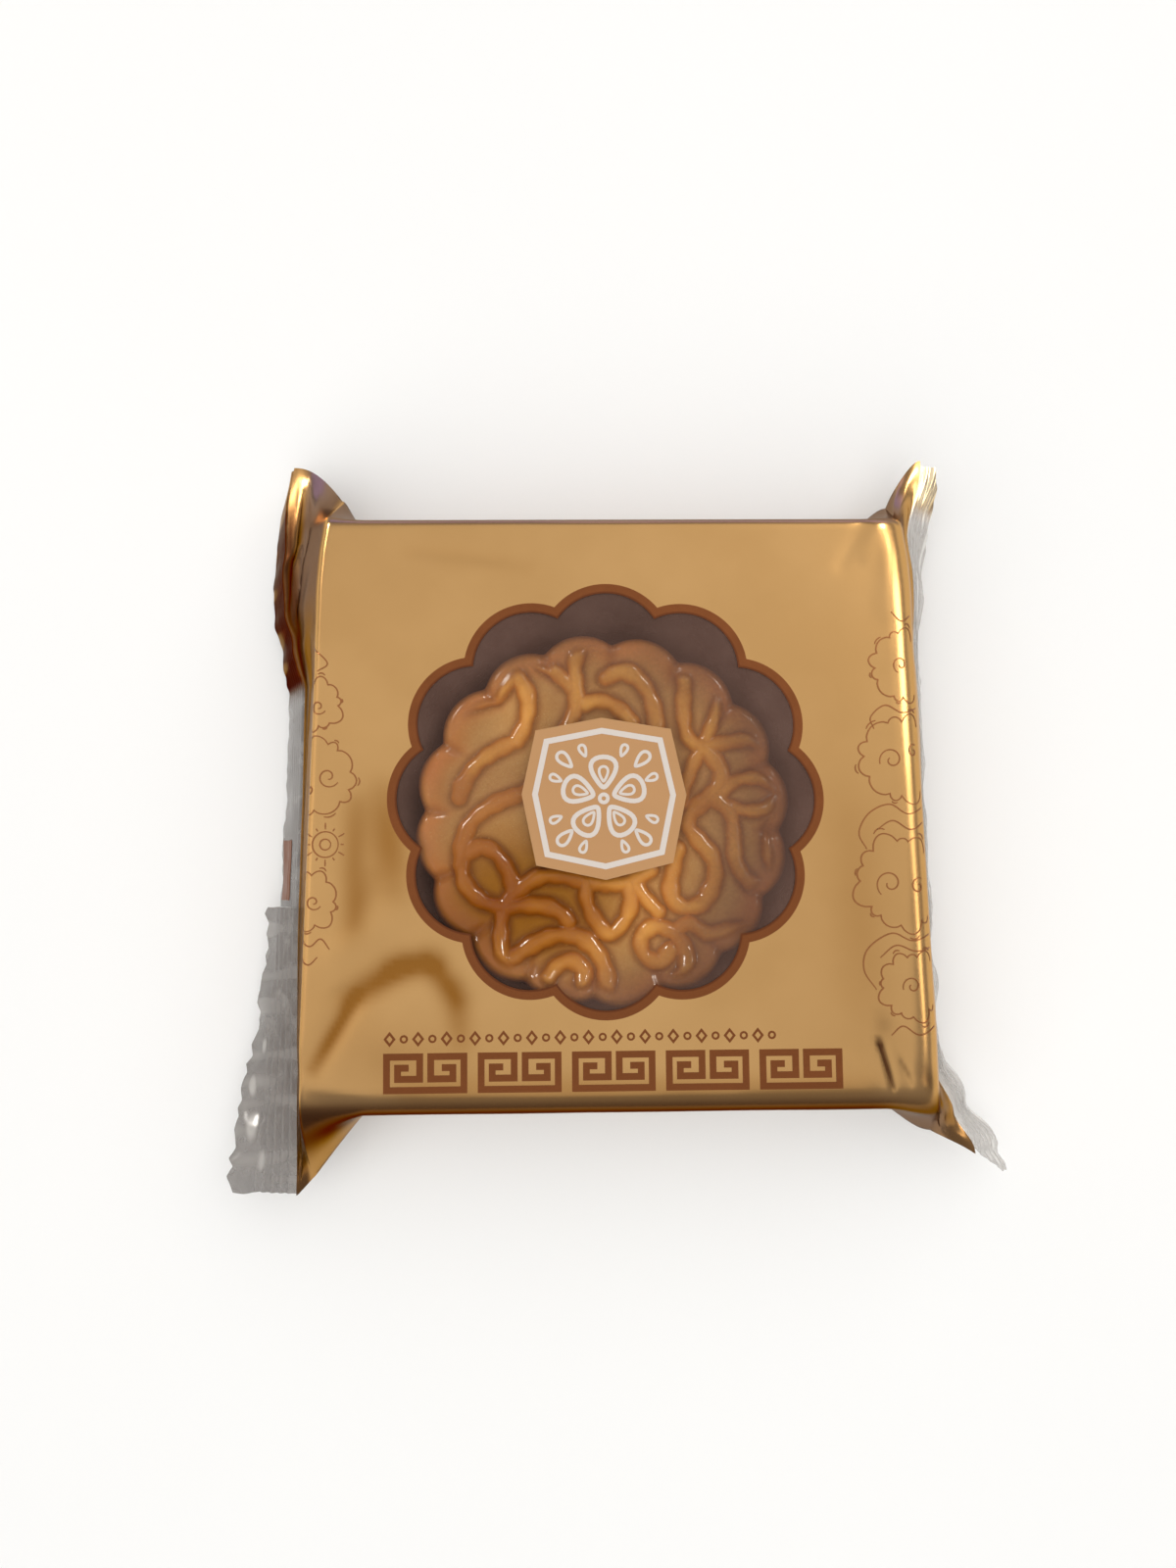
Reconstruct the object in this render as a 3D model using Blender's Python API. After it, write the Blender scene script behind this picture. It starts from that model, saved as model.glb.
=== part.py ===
"""A small round mooncake in its sealed, windowed flow-wrap pack.

Units are metres, +Z is up and +X runs along the film tube, from one end seal
to the other. The origin is in the middle of the underside, on the face that
the pack rests on. The film, its clear window and its crimped end seals are one
thin sheet in the real pack; here each is a closed solid with a wall that can
be handled. The cake sits in the round well of a dark tray.
"""

import math

import bmesh
import bpy
from mathutils import Vector

MM = 0.001
GAP = 0.3 * MM  # clearance between neighbouring solids

# Film tube round the tray
PACK_DEPTH = 79.5 * MM  # along Y
PACK_HEIGHT = 24.0 * MM
PACK_HALF_LENGTH = 40.8 * MM  # along X, at the middle of the depth
PACK_FLARE = 1.3 * MM  # the front corners stand this much further out than the middle
BACK_RADIUS = 2.0 * MM
FRONT_RADIUS = 4.0 * MM
BASE_RADIUS = 2.5 * MM
FILM_WALL = 0.9 * MM
CORNER_STEPS = 4
TOP_STEPS = 14
SIDE_STEPS = 3  # from a corner's arc to the middle of a side

# End closures: how far the tube's end line lies beyond the body, at each Y
SEAL_LEVEL = 11.5 * MM
SEAL_THICKNESS = 1.2 * MM
LEFT_REACH = [(52, 6.0), (40, 8.4), (28, 7.4), (19, 4.0), (0, 3.4), (-36, 2.4), (-52, 1.6)]
RIGHT_REACH = [(52, 6.4), (40, 4.6), (18, 3.6), (0, 3.4), (-30, 3.2), (-42, 5.4), (-52, 8.0)]
# Inset from the end edge, ear spread, and collapse towards the seal
BODY_STATIONS = [(7.0, 0.0, 0.0), (3.0, 0.2, 0.0), (0.9, 0.34, 0.035), (0.0, 0.44, 0.12)]
PANEL_STATIONS = [(0.5, 0.74, 0.56), (1.0, 1.0, 1.0)]
CAVITY_END = (0.3, 0.66, 0.4)
CAVITY_SPREAD = 0.45  # the space inside the ears is this share of their spread

# Crimped end seals: width of the sheet and its droop below the level, at each Y
SEAL_WIDTH = 10.0 * MM
SEAL_SHEET = 0.6 * MM
SEAL_KNEE = 0.8 * MM
TOOTH_PITCH = 3.2 * MM
TOOTH_DEPTH = 1.0 * MM
LEFT_DROOP = [(52, 84), (0, 82), (-11, 78), (-15, 66), (-35, 40), (-52, 10)]
RIGHT_DROOP = [(52, 70), (20, 62), (-30, 64), (-42, 62), (-52, 64)]

# Window in the top film
WINDOW_LOBES = 12
WINDOW_CENTRE = (-1.9 * MM, 1.2 * MM)
WINDOW_LOBE_OUT = 20.2 * MM
WINDOW_LOBE_RADIUS = 7.8 * MM
WINDOW_TURN = math.radians(-0.5)
PANE_THICKNESS = 0.6 * MM
LOBE_STEPS = 6

# Tray
TRAY_SIDE = 75.0 * MM
TRAY_CORNER = 5.0 * MM
TRAY_WALL = 0.8 * MM
TRAY_TOP = 21.8 * MM
WELL_CENTRE = (-1.9 * MM, 0.0)
WELL_TOP_RADIUS = 30.5 * MM
WELL_BASE_RADIUS = 27.5 * MM

# Mooncake
CAKE_CENTRE = (-2.0 * MM, -1.3 * MM)
CAKE_HEIGHT = 20.0 * MM
CAKE_BASE = FILM_WALL + TRAY_WALL + 2 * GAP
CAKE_LOBES = 16
CAKE_LOBE_OUT = 19.25 * MM
CAKE_LOBE_RADIUS = 6.5 * MM
CAKE_FIRST_CUSP = math.radians(86.4)
CAKE_LOBE_STEPS = 6
# Height below the crest of the rim and inset from the outline, from the foot up
CAKE_PROFILE = [
    (20.0, 1.4), (19.3, 0.4), (17.6, 0.0), (5.0, 0.0), (2.4, 0.15), (0.9, 0.6), (0.1, 1.5),
    (0.2, 2.2), (0.9, 2.9),
]
GROUND_DEPTH = 1.1 * MM  # the pressed face lies this far below the rim's crest
RIDGE_RADIUS = 1.05 * MM
RIDGE_SIDES = 6
RIDGE_STEP = 1.7 * MM

MATERIALS = {
    "gold_film": ((0.53, 0.31, 0.11), 0.28, 0.85),
    "clear_film": ((0.55, 0.52, 0.48), 0.2, 0.0),
    "dark_tray": ((0.045, 0.03, 0.025), 0.3, 0.0),
    "baked_crust": ((0.42, 0.17, 0.045), 0.35, 0.0),
}


def clear_scene():
    for obj in list(bpy.data.objects):
        bpy.data.objects.remove(obj)


def material(name):
    colour, roughness, metallic = MATERIALS[name]
    made = bpy.data.materials.new(name)
    made.use_nodes = True
    shader = made.node_tree.nodes["Principled BSDF"]
    shader.inputs["Base Color"].default_value = (*colour, 1.0)
    shader.inputs["Roughness"].default_value = roughness
    shader.inputs["Metallic"].default_value = metallic
    return made


def object_from(bm, name):
    bmesh.ops.recalc_face_normals(bm, faces=bm.faces)
    mesh = bpy.data.meshes.new(name)
    bm.to_mesh(mesh)
    bm.free()
    obj = bpy.data.objects.new(name, mesh)
    bpy.context.collection.objects.link(obj)
    return obj


def finish(obj, slot):
    obj.data.materials.clear()
    obj.data.materials.append(material(slot))
    obj.data.shade_smooth()
    obj.data.set_sharp_from_angle(angle=math.radians(35))


def combine(obj, other, operation, overlapping=False):
    """Adds or cuts another closed shape and leaves that shape out of the model."""
    other.hide_render = True
    other.display_type = "WIRE"
    other.hide_set(True)
    cut = obj.modifiers.new(operation.lower(), "BOOLEAN")
    cut.operation = operation
    cut.object = other
    cut.solver = "EXACT"
    cut.use_self = overlapping


def along(table, y):
    """Reads a table of (Y, value) pairs, both in millimetres or degrees, smoothly at y."""
    at = y / MM
    if at >= table[0][0]:
        return table[0][1]
    for (y0, v0), (y1, v1) in zip(table, table[1:]):
        if at >= y1:
            t = (y0 - at) / (y0 - y1)
            return v0 + (v1 - v0) * t * t * (3 - 2 * t)
    return table[-1][1]


def loft(rings, name, laddered=False):
    """A closed skin over rings that have the same number of points.

    A laddered end is closed rung by rung between the ring's two halves, so it
    may curve; otherwise each end is one flat face.
    """
    bm = bmesh.new()
    loops = [[bm.verts.new(point) for point in ring] for ring in rings]
    for first, second in zip(loops, loops[1:]):
        for i in range(len(first)):
            j = (i + 1) % len(first)
            bm.faces.new((first[i], first[j], second[j], second[i]))
    for loop in (loops[0], loops[-1]):
        if laddered:
            close_by_rungs(bm, loop)
        else:
            bm.faces.new(loop)
    return object_from(bm, name)


def close_by_rungs(bm, loop):
    """Closes a loop whose first point and the one half-way round are its two tips."""
    count = len(loop)
    for i in range(count // 2):
        rung = [loop[i], loop[i + 1], loop[-i - 1], loop[-i]]
        bm.faces.new(list(dict.fromkeys(rung)))


def lobed_outline(centre, lobes, out, radius, turn, steps):
    """The outline of a ring of overlapping discs, from one cusp round to it again."""
    half = math.pi / lobes
    points = []
    for i in range(lobes * steps):
        lobe, step = divmod(i, steps)
        p = half * (2 * step / steps - 1)
        reach = out * math.cos(p) + math.sqrt(radius**2 - (out * math.sin(p)) ** 2)
        angle = turn + half * (2 * lobe + 1) + p
        points.append((centre[0] + reach * math.cos(angle), centre[1] + reach * math.sin(angle)))
    return points


def prism(outline, low, high, name):
    return loft([[(x, y, z) for x, y in outline] for z in (low, high)], name)


def frustum(centre, low, low_radius, high, high_radius, name):
    bm = bmesh.new()
    bmesh.ops.create_cone(
        bm, cap_ends=True, segments=64, radius1=low_radius, radius2=high_radius, depth=high - low
    )
    bmesh.ops.translate(bm, verts=bm.verts, vec=(*centre, (low + high) / 2))
    return object_from(bm, name)


def rounded_block(side, corner, low, high, name):
    bm = bmesh.new()
    bmesh.ops.create_cube(bm, size=1.0)
    bmesh.ops.scale(bm, verts=bm.verts, vec=(side, side, high - low))
    bmesh.ops.translate(bm, verts=bm.verts, vec=(0, 0, (low + high) / 2))
    upright = [e for e in bm.edges if abs(e.verts[0].co.z - e.verts[1].co.z) > corner / 2]
    bmesh.ops.bevel(bm, geom=upright, offset=corner, segments=4, profile=0.5, affect="EDGES")
    return object_from(bm, name)


def tube_section(inset):
    """The film tube's (y, z) section round the tray, from the middle of the back side over the top."""
    half = PACK_DEPTH / 2 - inset
    low, high = inset, PACK_HEIGHT - inset
    corners = [
        (half, high, BACK_RADIUS, 0), (-half, high, FRONT_RADIUS, 90),
        (-half, low, BASE_RADIUS, 180), (half, low, BASE_RADIUS, 270),
    ]
    arcs = []
    for y, z, radius, start in corners:
        radius = max(radius - inset, 0.5 * MM)
        cy, cz = y - math.copysign(radius, y), z - math.copysign(radius, z - PACK_HEIGHT / 2)
        turn = [math.radians(start + 90 * i / CORNER_STEPS) for i in range(CORNER_STEPS + 1)]
        arcs.append([(cy + radius * math.cos(a), cz + radius * math.sin(a)) for a in turn])
    back, front = (half, PACK_HEIGHT / 2), (-half, PACK_HEIGHT / 2)
    top_back, top_front, base_front, base_back = arcs
    return (
        [back] + between(back, top_back[0], SIDE_STEPS) + top_back
        + between(top_back[-1], top_front[0], TOP_STEPS) + top_front
        + between(top_front[-1], front, SIDE_STEPS) + [front]
        + between(front, base_front[0], SIDE_STEPS) + base_front
        + between(base_front[-1], base_back[0], TOP_STEPS) + base_back
        + between(base_back[-1], back, SIDE_STEPS)
    )


def between(start, end, steps):
    """The points that divide a straight stretch into equal steps, without its ends."""
    (y0, z0), (y1, z1) = start, end
    return [(y0 + (y1 - y0) * i / steps, z0 + (z1 - z0) * i / steps) for i in range(1, steps)]


def end_edge(y):
    """Half the body's length at this y."""
    return PACK_HALF_LENGTH - PACK_FLARE * y / (PACK_DEPTH / 2)


def flat_y(y, z):
    """Where a point of the section comes to lie across the flattened end."""
    return y + math.copysign(PACK_HEIGHT / 2 - abs(z - PACK_HEIGHT / 2), y)


def tube_ring(section, side, x_of, spread, collapse):
    """One ring of the tube near an end; side is -1 on the left and 1 on the right."""
    ring = []
    for y, z in section:
        across = y + (flat_y(y, z) - y) * spread
        upper = (z > PACK_HEIGHT / 2 + MM / 100) - (z < PACK_HEIGHT / 2 - MM / 100)
        level = SEAL_LEVEL + upper * SEAL_THICKNESS / 2
        ring.append((side * x_of(across), across, z + (level - z) * collapse))
    return ring


def end_rings(inset, side, reach, stations, spread_share):
    """The rings from the straight part of the tube out to one end."""
    section = tube_section(inset)
    rings = []
    for back, spread, collapse in BODY_STATIONS:
        x_of = lambda y, back=back: end_edge(y) - back * MM - inset
        rings.append(tube_ring(section, side, x_of, spread * spread_share, collapse))
    for share, spread, collapse in stations:
        x_of = lambda y, share=share: end_edge(y) + share * along(reach, y) * MM - inset
        rings.append(tube_ring(section, side, x_of, spread * spread_share, collapse))
    return rings


def film_tube(inset, stations, spread_share, name):
    left = end_rings(inset, -1, LEFT_REACH, stations, spread_share)
    right = end_rings(inset, 1, RIGHT_REACH, stations, spread_share)
    return loft(left[::-1] + right, name, laddered=True)


def window_outline(clearance):
    return lobed_outline(
        WINDOW_CENTRE, WINDOW_LOBES, WINDOW_LOBE_OUT, WINDOW_LOBE_RADIUS - clearance,
        math.radians(75) + WINDOW_TURN, LOBE_STEPS,
    )


def build_wrapper():
    wrapper = film_tube(0.0, PANEL_STATIONS, 1.0, "wrapper")
    inside = film_tube(FILM_WALL, [CAVITY_END], CAVITY_SPREAD, "tube_inside")
    combine(wrapper, inside, "DIFFERENCE")
    opening = prism(window_outline(0.0), PACK_HEIGHT / 2, PACK_HEIGHT + 2 * MM, "window_opening")
    combine(wrapper, opening, "DIFFERENCE")
    finish(wrapper, "gold_film")


def build_window():
    high = PACK_HEIGHT - 0.15 * MM
    finish(prism(window_outline(GAP), high - PANE_THICKNESS, high, "window"), "clear_film")


def seal_rows(side, reach, droop):
    """Rows of points across an end seal, each from its root to its pinked edge."""
    half = PACK_DEPTH / 2 + PACK_HEIGHT / 2 - MM / 2
    count = round(4 * half / TOOTH_PITCH)
    rows = []
    for i in range(count + 1):
        y = half - 2 * half * i / count
        angle = math.radians(along(droop, y))
        width = SEAL_WIDTH - TOOTH_DEPTH * (i % 2)
        root = Vector((side * (end_edge(y) + along(reach, y) * MM + 2 * GAP), y, SEAL_LEVEL))
        out = Vector((side * math.cos(angle), 0, -math.sin(angle)))
        up = Vector((side * math.sin(angle), 0, math.cos(angle)))
        # The sheet leaves the tube level and then droops, so the first stretch stays clear of it
        knee = root + Vector((side * SEAL_KNEE, 0, 0))
        rows.append([(root, Vector((0, 0, 1))), (knee, up), (knee + out * width, up)])
    return rows


def build_seal(name, side, reach, droop):
    rows = seal_rows(side, reach, droop)
    rings = []
    for row in rows:
        upper = [point + up * SEAL_SHEET / 2 for point, up in row]
        lower = [point - up * SEAL_SHEET / 2 for point, up in row]
        rings.append(upper + lower[::-1])
    finish(loft(rings, name), "clear_film")


def build_tray():
    floor = FILM_WALL + GAP
    tray = rounded_block(TRAY_SIDE, TRAY_CORNER, floor, TRAY_TOP, "tray")
    hollow = rounded_block(
        TRAY_SIDE - 2 * TRAY_WALL, TRAY_CORNER - TRAY_WALL, floor - MM, TRAY_TOP - TRAY_WALL,
        "tray_underside",
    )
    combine(tray, hollow, "DIFFERENCE")
    cup = frustum(
        WELL_CENTRE, floor, WELL_BASE_RADIUS + TRAY_WALL, TRAY_TOP - TRAY_WALL / 2,
        WELL_TOP_RADIUS + TRAY_WALL, "cup",
    )
    combine(tray, cup, "UNION")
    slope = (WELL_TOP_RADIUS - WELL_BASE_RADIUS) / (TRAY_TOP - floor - TRAY_WALL)
    well = frustum(
        WELL_CENTRE, floor + TRAY_WALL, WELL_BASE_RADIUS, TRAY_TOP + MM,
        WELL_TOP_RADIUS + slope * MM, "well",
    )
    combine(tray, well, "DIFFERENCE")
    finish(tray, "dark_tray")


def smooth_line(points, step):
    """Points at even steps along a smooth curve through a few given ones."""
    knots = [2 * points[0] - points[1], *points, 2 * points[-1] - points[-2]]
    line = []
    for a, b, c, d in zip(knots, knots[1:], knots[2:], knots[3:]):
        count = max(1, round((c - b).length / step))
        for i in range(count):
            t = i / count
            line.append(
                0.5 * (2 * b + (c - a) * t + (2 * a - 5 * b + 4 * c - d) * t**2
                       + (3 * b - a - 3 * c + d) * t**3)
            )
    return line + [points[-1]]


def stem(*points):
    """A stroke through points given in millimetres from the cake's centre."""
    return smooth_line([Vector((x, y, 0)) * MM for x, y in points], RIDGE_STEP)


def leaf(base, tip, width):
    """A closed leaf outline from its base round its tip."""
    base, tip = Vector((*base, 0)) * MM, Vector((*tip, 0)) * MM
    axis = tip - base
    across = Vector((-axis.y, axis.x, 0)).normalized() * width * MM / 2
    count = round(2.4 * axis.length / RIDGE_STEP)
    line = []
    for i in range(count + 1):
        turn = 2 * math.pi * i / count
        line.append(base + axis * (1 - math.cos(turn)) / 2 + across * math.sin(turn))
    return line


def scroll(centre, outer, inner, start, sweep):
    """A spiral stroke that winds in from its outer end; start and sweep are degrees."""
    count = round(abs(math.radians(sweep)) * (outer + inner) / 2 * MM / RIDGE_STEP)
    line = []
    for i in range(count + 1):
        t = i / count
        angle = math.radians(start + sweep * t)
        reach = outer + (inner - outer) * t
        x, y = centre[0] + reach * math.cos(angle), centre[1] + reach * math.sin(angle)
        line.append(Vector((x, y, 0)) * MM)
    return line


def relief_strokes():
    """The pressed flower and tendrils, in millimetres from the cake's centre."""
    return [
        stem((-16.5, 16.4), (-14.4, 17.3), (-12.1, 19.9)),
        stem((-12.1, 19.9), (-10.1, 16.5), (-10.8, 12.4), (-12.6, 10), (-17.6, 7.3), (-19.4, 3.2)),
        stem((-7.6, 21), (-5.2, 18.6), (-3.7, 16)),
        stem((-2.9, 22.8), (-3.4, 19), (-3.6, 15.4), (-4.6, 11), (-5, 6)),
        stem((0.8, 19.6), (3.9, 19.9), (6.6, 17), (7.4, 12), (7, 7)),
        stem((-2.4, 15.8), (0.4, 16.1), (3.6, 13.6)),
        stem((10.4, 20.6), (11.2, 15.4), (11.6, 10.8), (13.6, 9.9)),
        stem((16.2, 16.4), (14.8, 12.6), (13.6, 9.9), (12, 6)),
        stem((13.6, 9.9), (17, 10.4), (21, 9.8)),
        stem((13.6, 9.9), (16, 6.4), (14.8, 3), (11.4, 0.8), (13, -3), (15.2, -6.8)),
        stem((15.2, -6.8), (14, -10.4), (10.8, -12), (9, -9.4), (10, -4.8)),
        leaf((15.6, 3), (22.2, 3.5), 4.2),
        stem((15.6, 2.6), (17.6, -1.4), (18.2, -6.4), (20.8, -9.8)),
        stem((22.4, -1.4), (21.8, -5), (21.6, -8.4)),
        stem((-5, 6), (-3.4, 2.8), (0.8, 1.4), (5.2, 3), (7, 7)),
        stem((0.8, 1.4), (-1.4, -3), (0.4, -8.6)),
        stem((-10.4, 3.8), (-15.6, 1.6), (-19, -2.4), (-19.2, -6)),
        leaf((-13.4, -11.6), (-18.4, -4.2), 6.6),
        stem((-13.4, -11.6), (-10, -8.1), (-5.6, -7.5), (0.4, -8.6), (4.6, -8.9)),
        stem((-13.4, -11.6), (-8.6, -11.3), (-4.6, -13.8)),
        stem((-13.4, -11.6), (-13.8, -16), (-12.9, -19.3)),
        stem((-12, -19.6), (-8, -16), (-3.8, -15.6), (-0.4, -18.6), (0.4, -22.8)),
        scroll((-4.4, -21), 3.6, 1.2, 190, -310),
        stem((-2.2, -8.6), (-1.7, -12.4), (0.8, -15.3), (3.2, -13), (3.6, -9.4)),
        stem((4.6, -9.3), (7.2, -12.3)),
        scroll((8.2, -17.3), 4.1, 0.9, 330, -520),
        stem((9.2, -13.6), (13.2, -14.9), (18.4, -14.9)),
    ]


def ridge(bm, line):
    """Adds a half-sunk rounded ridge along a stroke, narrower at its ends."""
    level = CAKE_BASE + CAKE_HEIGHT - GROUND_DEPTH
    rings = []
    for i, point in enumerate(line):
        ahead = line[min(i + 1, len(line) - 1)] - line[max(i - 1, 0)]
        across = Vector((-ahead.y, ahead.x, 0)).normalized()
        radius = RIDGE_RADIUS * (0.75 if i in (0, len(line) - 1) else 1.0)
        centre = point + Vector((*CAKE_CENTRE, level))
        ring = []
        for k in range(RIDGE_SIDES):
            turn = math.radians(360 * k / RIDGE_SIDES)
            ring.append(bm.verts.new(
                centre + across * radius * math.cos(turn) + Vector((0, 0, radius * math.sin(turn)))
            ))
        rings.append(ring)
    for first, second in zip(rings, rings[1:]):
        for k in range(RIDGE_SIDES):
            j = (k + 1) % RIDGE_SIDES
            bm.faces.new((first[k], first[j], second[j], second[k]))
    bm.faces.new(rings[0][::-1])
    bm.faces.new(rings[-1])


def build_mooncake():
    rings = []
    for drop, inset in CAKE_PROFILE:
        outline = lobed_outline(
            CAKE_CENTRE, CAKE_LOBES, CAKE_LOBE_OUT, CAKE_LOBE_RADIUS, CAKE_FIRST_CUSP,
            CAKE_LOBE_STEPS,
        )
        centre = Vector(CAKE_CENTRE)
        ring = []
        for point in outline:
            spoke = Vector(point) - centre
            spoke *= 1 - inset * MM / spoke.length
            ring.append((*(centre + spoke), CAKE_BASE + CAKE_HEIGHT - drop * MM))
        rings.append(ring)
    cake = loft(rings, "mooncake")
    bm = bmesh.new()
    for line in relief_strokes():
        ridge(bm, line)
    combine(cake, object_from(bm, "relief"), "UNION", overlapping=True)
    finish(cake, "baked_crust")


def main():
    clear_scene()
    build_wrapper()
    build_window()
    build_seal("seal_left", -1, LEFT_REACH, LEFT_DROOP)
    build_seal("seal_right", 1, RIGHT_REACH, RIGHT_DROOP)
    build_tray()
    build_mooncake()


main()
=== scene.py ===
"""Looks of a small mooncake in its sealed, windowed flow-wrap pack.

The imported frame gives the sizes; this file models the visible skins round it:
the gold film with its ears and creases, the printed window and bands, the
crimped end seals, the tray and the pressed, glazed cake. Lengths are metres,
+Z is up, +X runs from the left end seal to the right one.
"""

import sys

import logging
import math
from contextlib import contextmanager
from dataclasses import dataclass
from enum import Enum
from typing import Callable, Iterator, Optional, Sequence

import bpy
import numpy as np
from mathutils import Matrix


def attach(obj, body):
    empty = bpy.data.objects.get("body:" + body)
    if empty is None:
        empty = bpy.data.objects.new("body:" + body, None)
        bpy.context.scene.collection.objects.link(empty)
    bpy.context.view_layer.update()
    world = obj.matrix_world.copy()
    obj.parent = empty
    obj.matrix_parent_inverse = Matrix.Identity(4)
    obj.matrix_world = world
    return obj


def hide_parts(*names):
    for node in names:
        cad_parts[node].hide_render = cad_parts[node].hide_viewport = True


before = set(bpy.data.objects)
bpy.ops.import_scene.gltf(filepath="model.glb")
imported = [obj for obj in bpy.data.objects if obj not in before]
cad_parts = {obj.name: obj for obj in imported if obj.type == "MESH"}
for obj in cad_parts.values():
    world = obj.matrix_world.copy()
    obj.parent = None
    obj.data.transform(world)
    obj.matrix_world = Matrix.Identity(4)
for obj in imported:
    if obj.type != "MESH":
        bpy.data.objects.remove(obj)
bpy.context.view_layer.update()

MM = 0.001
LOG = logging.getLogger("mooncake_pack")
Point = tuple[float, float]
Line = np.ndarray


class Slot(Enum):
    """The record's material slots."""

    GOLD = "gold_film"
    CLEAR = "clear_film"
    TRAY = "dark_tray"
    CRUST = "baked_crust"
    BROWN = "print_brown"
    WHITE = "print_white"


class Side(Enum):
    """The two ends of the film tube."""

    LEFT = -1
    RIGHT = 1


# ---------------------------------------------------------------- bench work


class Kind(Enum):
    """What edit mode selects."""

    POINT = (True, False, False)
    EDGE = (False, True, False)
    FACE = (False, False, True)


def clear_choice() -> None:
    """Leaves edit mode and deselects all objects."""
    if bpy.context.object and bpy.context.object.mode != "OBJECT":
        bpy.ops.object.mode_set(mode="OBJECT")
    bpy.ops.object.select_all(action="DESELECT")


@contextmanager
def editing(piece: bpy.types.Object, chosen: Optional[np.ndarray] = None, kind: Kind = Kind.POINT) -> Iterator[None]:
    """Edit mode on one piece.

    Args:
        piece: The object to edit.
        chosen: For each point, edge or face, whether it is selected; all are
            where this is None.
        kind: What the choice is made of.
    """
    clear_choice()
    mesh = piece.data
    if chosen is not None:
        for group in (mesh.vertices, mesh.edges, mesh.polygons):
            group.foreach_set("select", [False] * len(group))
        group = {Kind.POINT: mesh.vertices, Kind.EDGE: mesh.edges, Kind.FACE: mesh.polygons}[kind]
        group.foreach_set("select", np.asarray(chosen).tolist())
    bpy.context.tool_settings.mesh_select_mode = kind.value
    bpy.context.view_layer.objects.active = piece
    piece.select_set(True)
    bpy.ops.object.mode_set(mode="EDIT")
    if chosen is None:
        bpy.ops.mesh.select_all(action="SELECT")
    yield
    bpy.ops.object.mode_set(mode="OBJECT")


def spots(piece: bpy.types.Object) -> np.ndarray:
    """Reads a piece's vertex positions as an (n, 3) array."""
    flat = np.zeros(len(piece.data.vertices) * 3)
    piece.data.vertices.foreach_get("co", flat)
    return flat.reshape(-1, 3)


def place(piece: bpy.types.Object, where: np.ndarray) -> None:
    """Moves a piece's vertices to the positions given."""
    piece.data.vertices.foreach_set("co", np.asarray(where, float).reshape(-1))
    piece.data.update()


def mark(piece: bpy.types.Object, name: str, values: np.ndarray) -> None:
    """Stores one number for each vertex, which a finish reads by name."""
    if name in piece.data.attributes:
        piece.data.attributes.remove(piece.data.attributes[name])
    layer = piece.data.attributes.new(name, "FLOAT", "POINT")
    layer.data.foreach_set("value", np.asarray(values, np.float32))


def new_piece(name: str) -> bpy.types.Object:
    """Names the primitive that was just added and puts its place into its mesh."""
    piece = bpy.context.object
    piece.name = piece.data.name = name
    bpy.ops.object.transform_apply(location=True, rotation=True, scale=True)
    return piece


def apply_modifier(piece: bpy.types.Object, kind: str, **settings: object) -> None:
    """Adds one modifier to a piece and applies it.

    Args:
        piece: The object to change.
        kind: Blender's name for the modifier.
        settings: Values for the modifier's own properties.
    """
    clear_choice()
    bpy.context.view_layer.objects.active = piece
    piece.select_set(True)
    modifier = piece.modifiers.new(kind.lower(), kind)
    for key, value in settings.items():
        setattr(modifier, key, value)
    bpy.ops.object.modifier_apply(modifier=modifier.name)


def soften(piece: bpy.types.Object, angle: float = 40.0) -> None:
    """Shades a piece smooth, with sharp edges above an angle in degrees."""
    clear_choice()
    bpy.context.view_layer.objects.active = piece
    piece.select_set(True)
    bpy.ops.object.shade_smooth_by_angle(angle=math.radians(angle))


def ringed_tube(name: str, around: int, rings: int) -> tuple[bpy.types.Object, np.ndarray, np.ndarray]:
    """Adds an open tube along X and cuts it into even rings.

    Args:
        name: The new piece's name.
        around: How many vertices one ring has.
        rings: How many rings the tube has.

    Returns:
        The piece, and for each vertex its ring and its place round the ring.
    """
    clear_choice()
    bpy.ops.mesh.primitive_cylinder_add(
        vertices=around, radius=1.0, depth=2.0, end_fill_type="NOTHING", rotation=(0, math.pi / 2, 0)
    )
    tube = new_piece(name)
    rough = spots(tube)
    ends = np.zeros(len(tube.data.edges) * 2, int)
    tube.data.edges.foreach_get("vertices", ends)
    ends = ends.reshape(-1, 2)
    long_edges = np.abs(rough[ends[:, 0], 0] - rough[ends[:, 1], 0]) > 1.0
    with editing(tube, long_edges, Kind.EDGE):
        bpy.ops.mesh.subdivide_edgering(number_cuts=rings - 2, interpolation="LINEAR", smoothness=0.0)
    rough = spots(tube)
    ring = np.round((rough[:, 0] + 1) / 2 * (rings - 1)).astype(int)
    turn = np.round(np.arctan2(rough[:, 2], rough[:, 1]) / (2 * math.pi) * around).astype(int) % around
    return tube, ring, turn


def grid_sheet(name: str, columns: int, rows: int) -> tuple[bpy.types.Object, np.ndarray, np.ndarray]:
    """Adds a flat grid.

    Args:
        name: The new piece's name.
        columns: How many vertices lie along X.
        rows: How many vertices lie along Y.

    Returns:
        The piece, and for each vertex its column and its row.
    """
    clear_choice()
    bpy.ops.mesh.primitive_grid_add(x_subdivisions=columns - 1, y_subdivisions=rows - 1, size=2.0)
    sheet = new_piece(name)
    rough = spots(sheet)
    column = np.round((rough[:, 0] + 1) / 2 * (columns - 1)).astype(int)
    row = np.round((rough[:, 1] + 1) / 2 * (rows - 1)).astype(int)
    return sheet, column, row


def merge_close(piece: bpy.types.Object, gap: float = 1e-6) -> None:
    """Merges vertices that lie on each other and turns the faces outwards."""
    with editing(piece):
        bpy.ops.mesh.remove_doubles(threshold=gap)
        bpy.ops.mesh.normals_make_consistent(inside=False)


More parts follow.
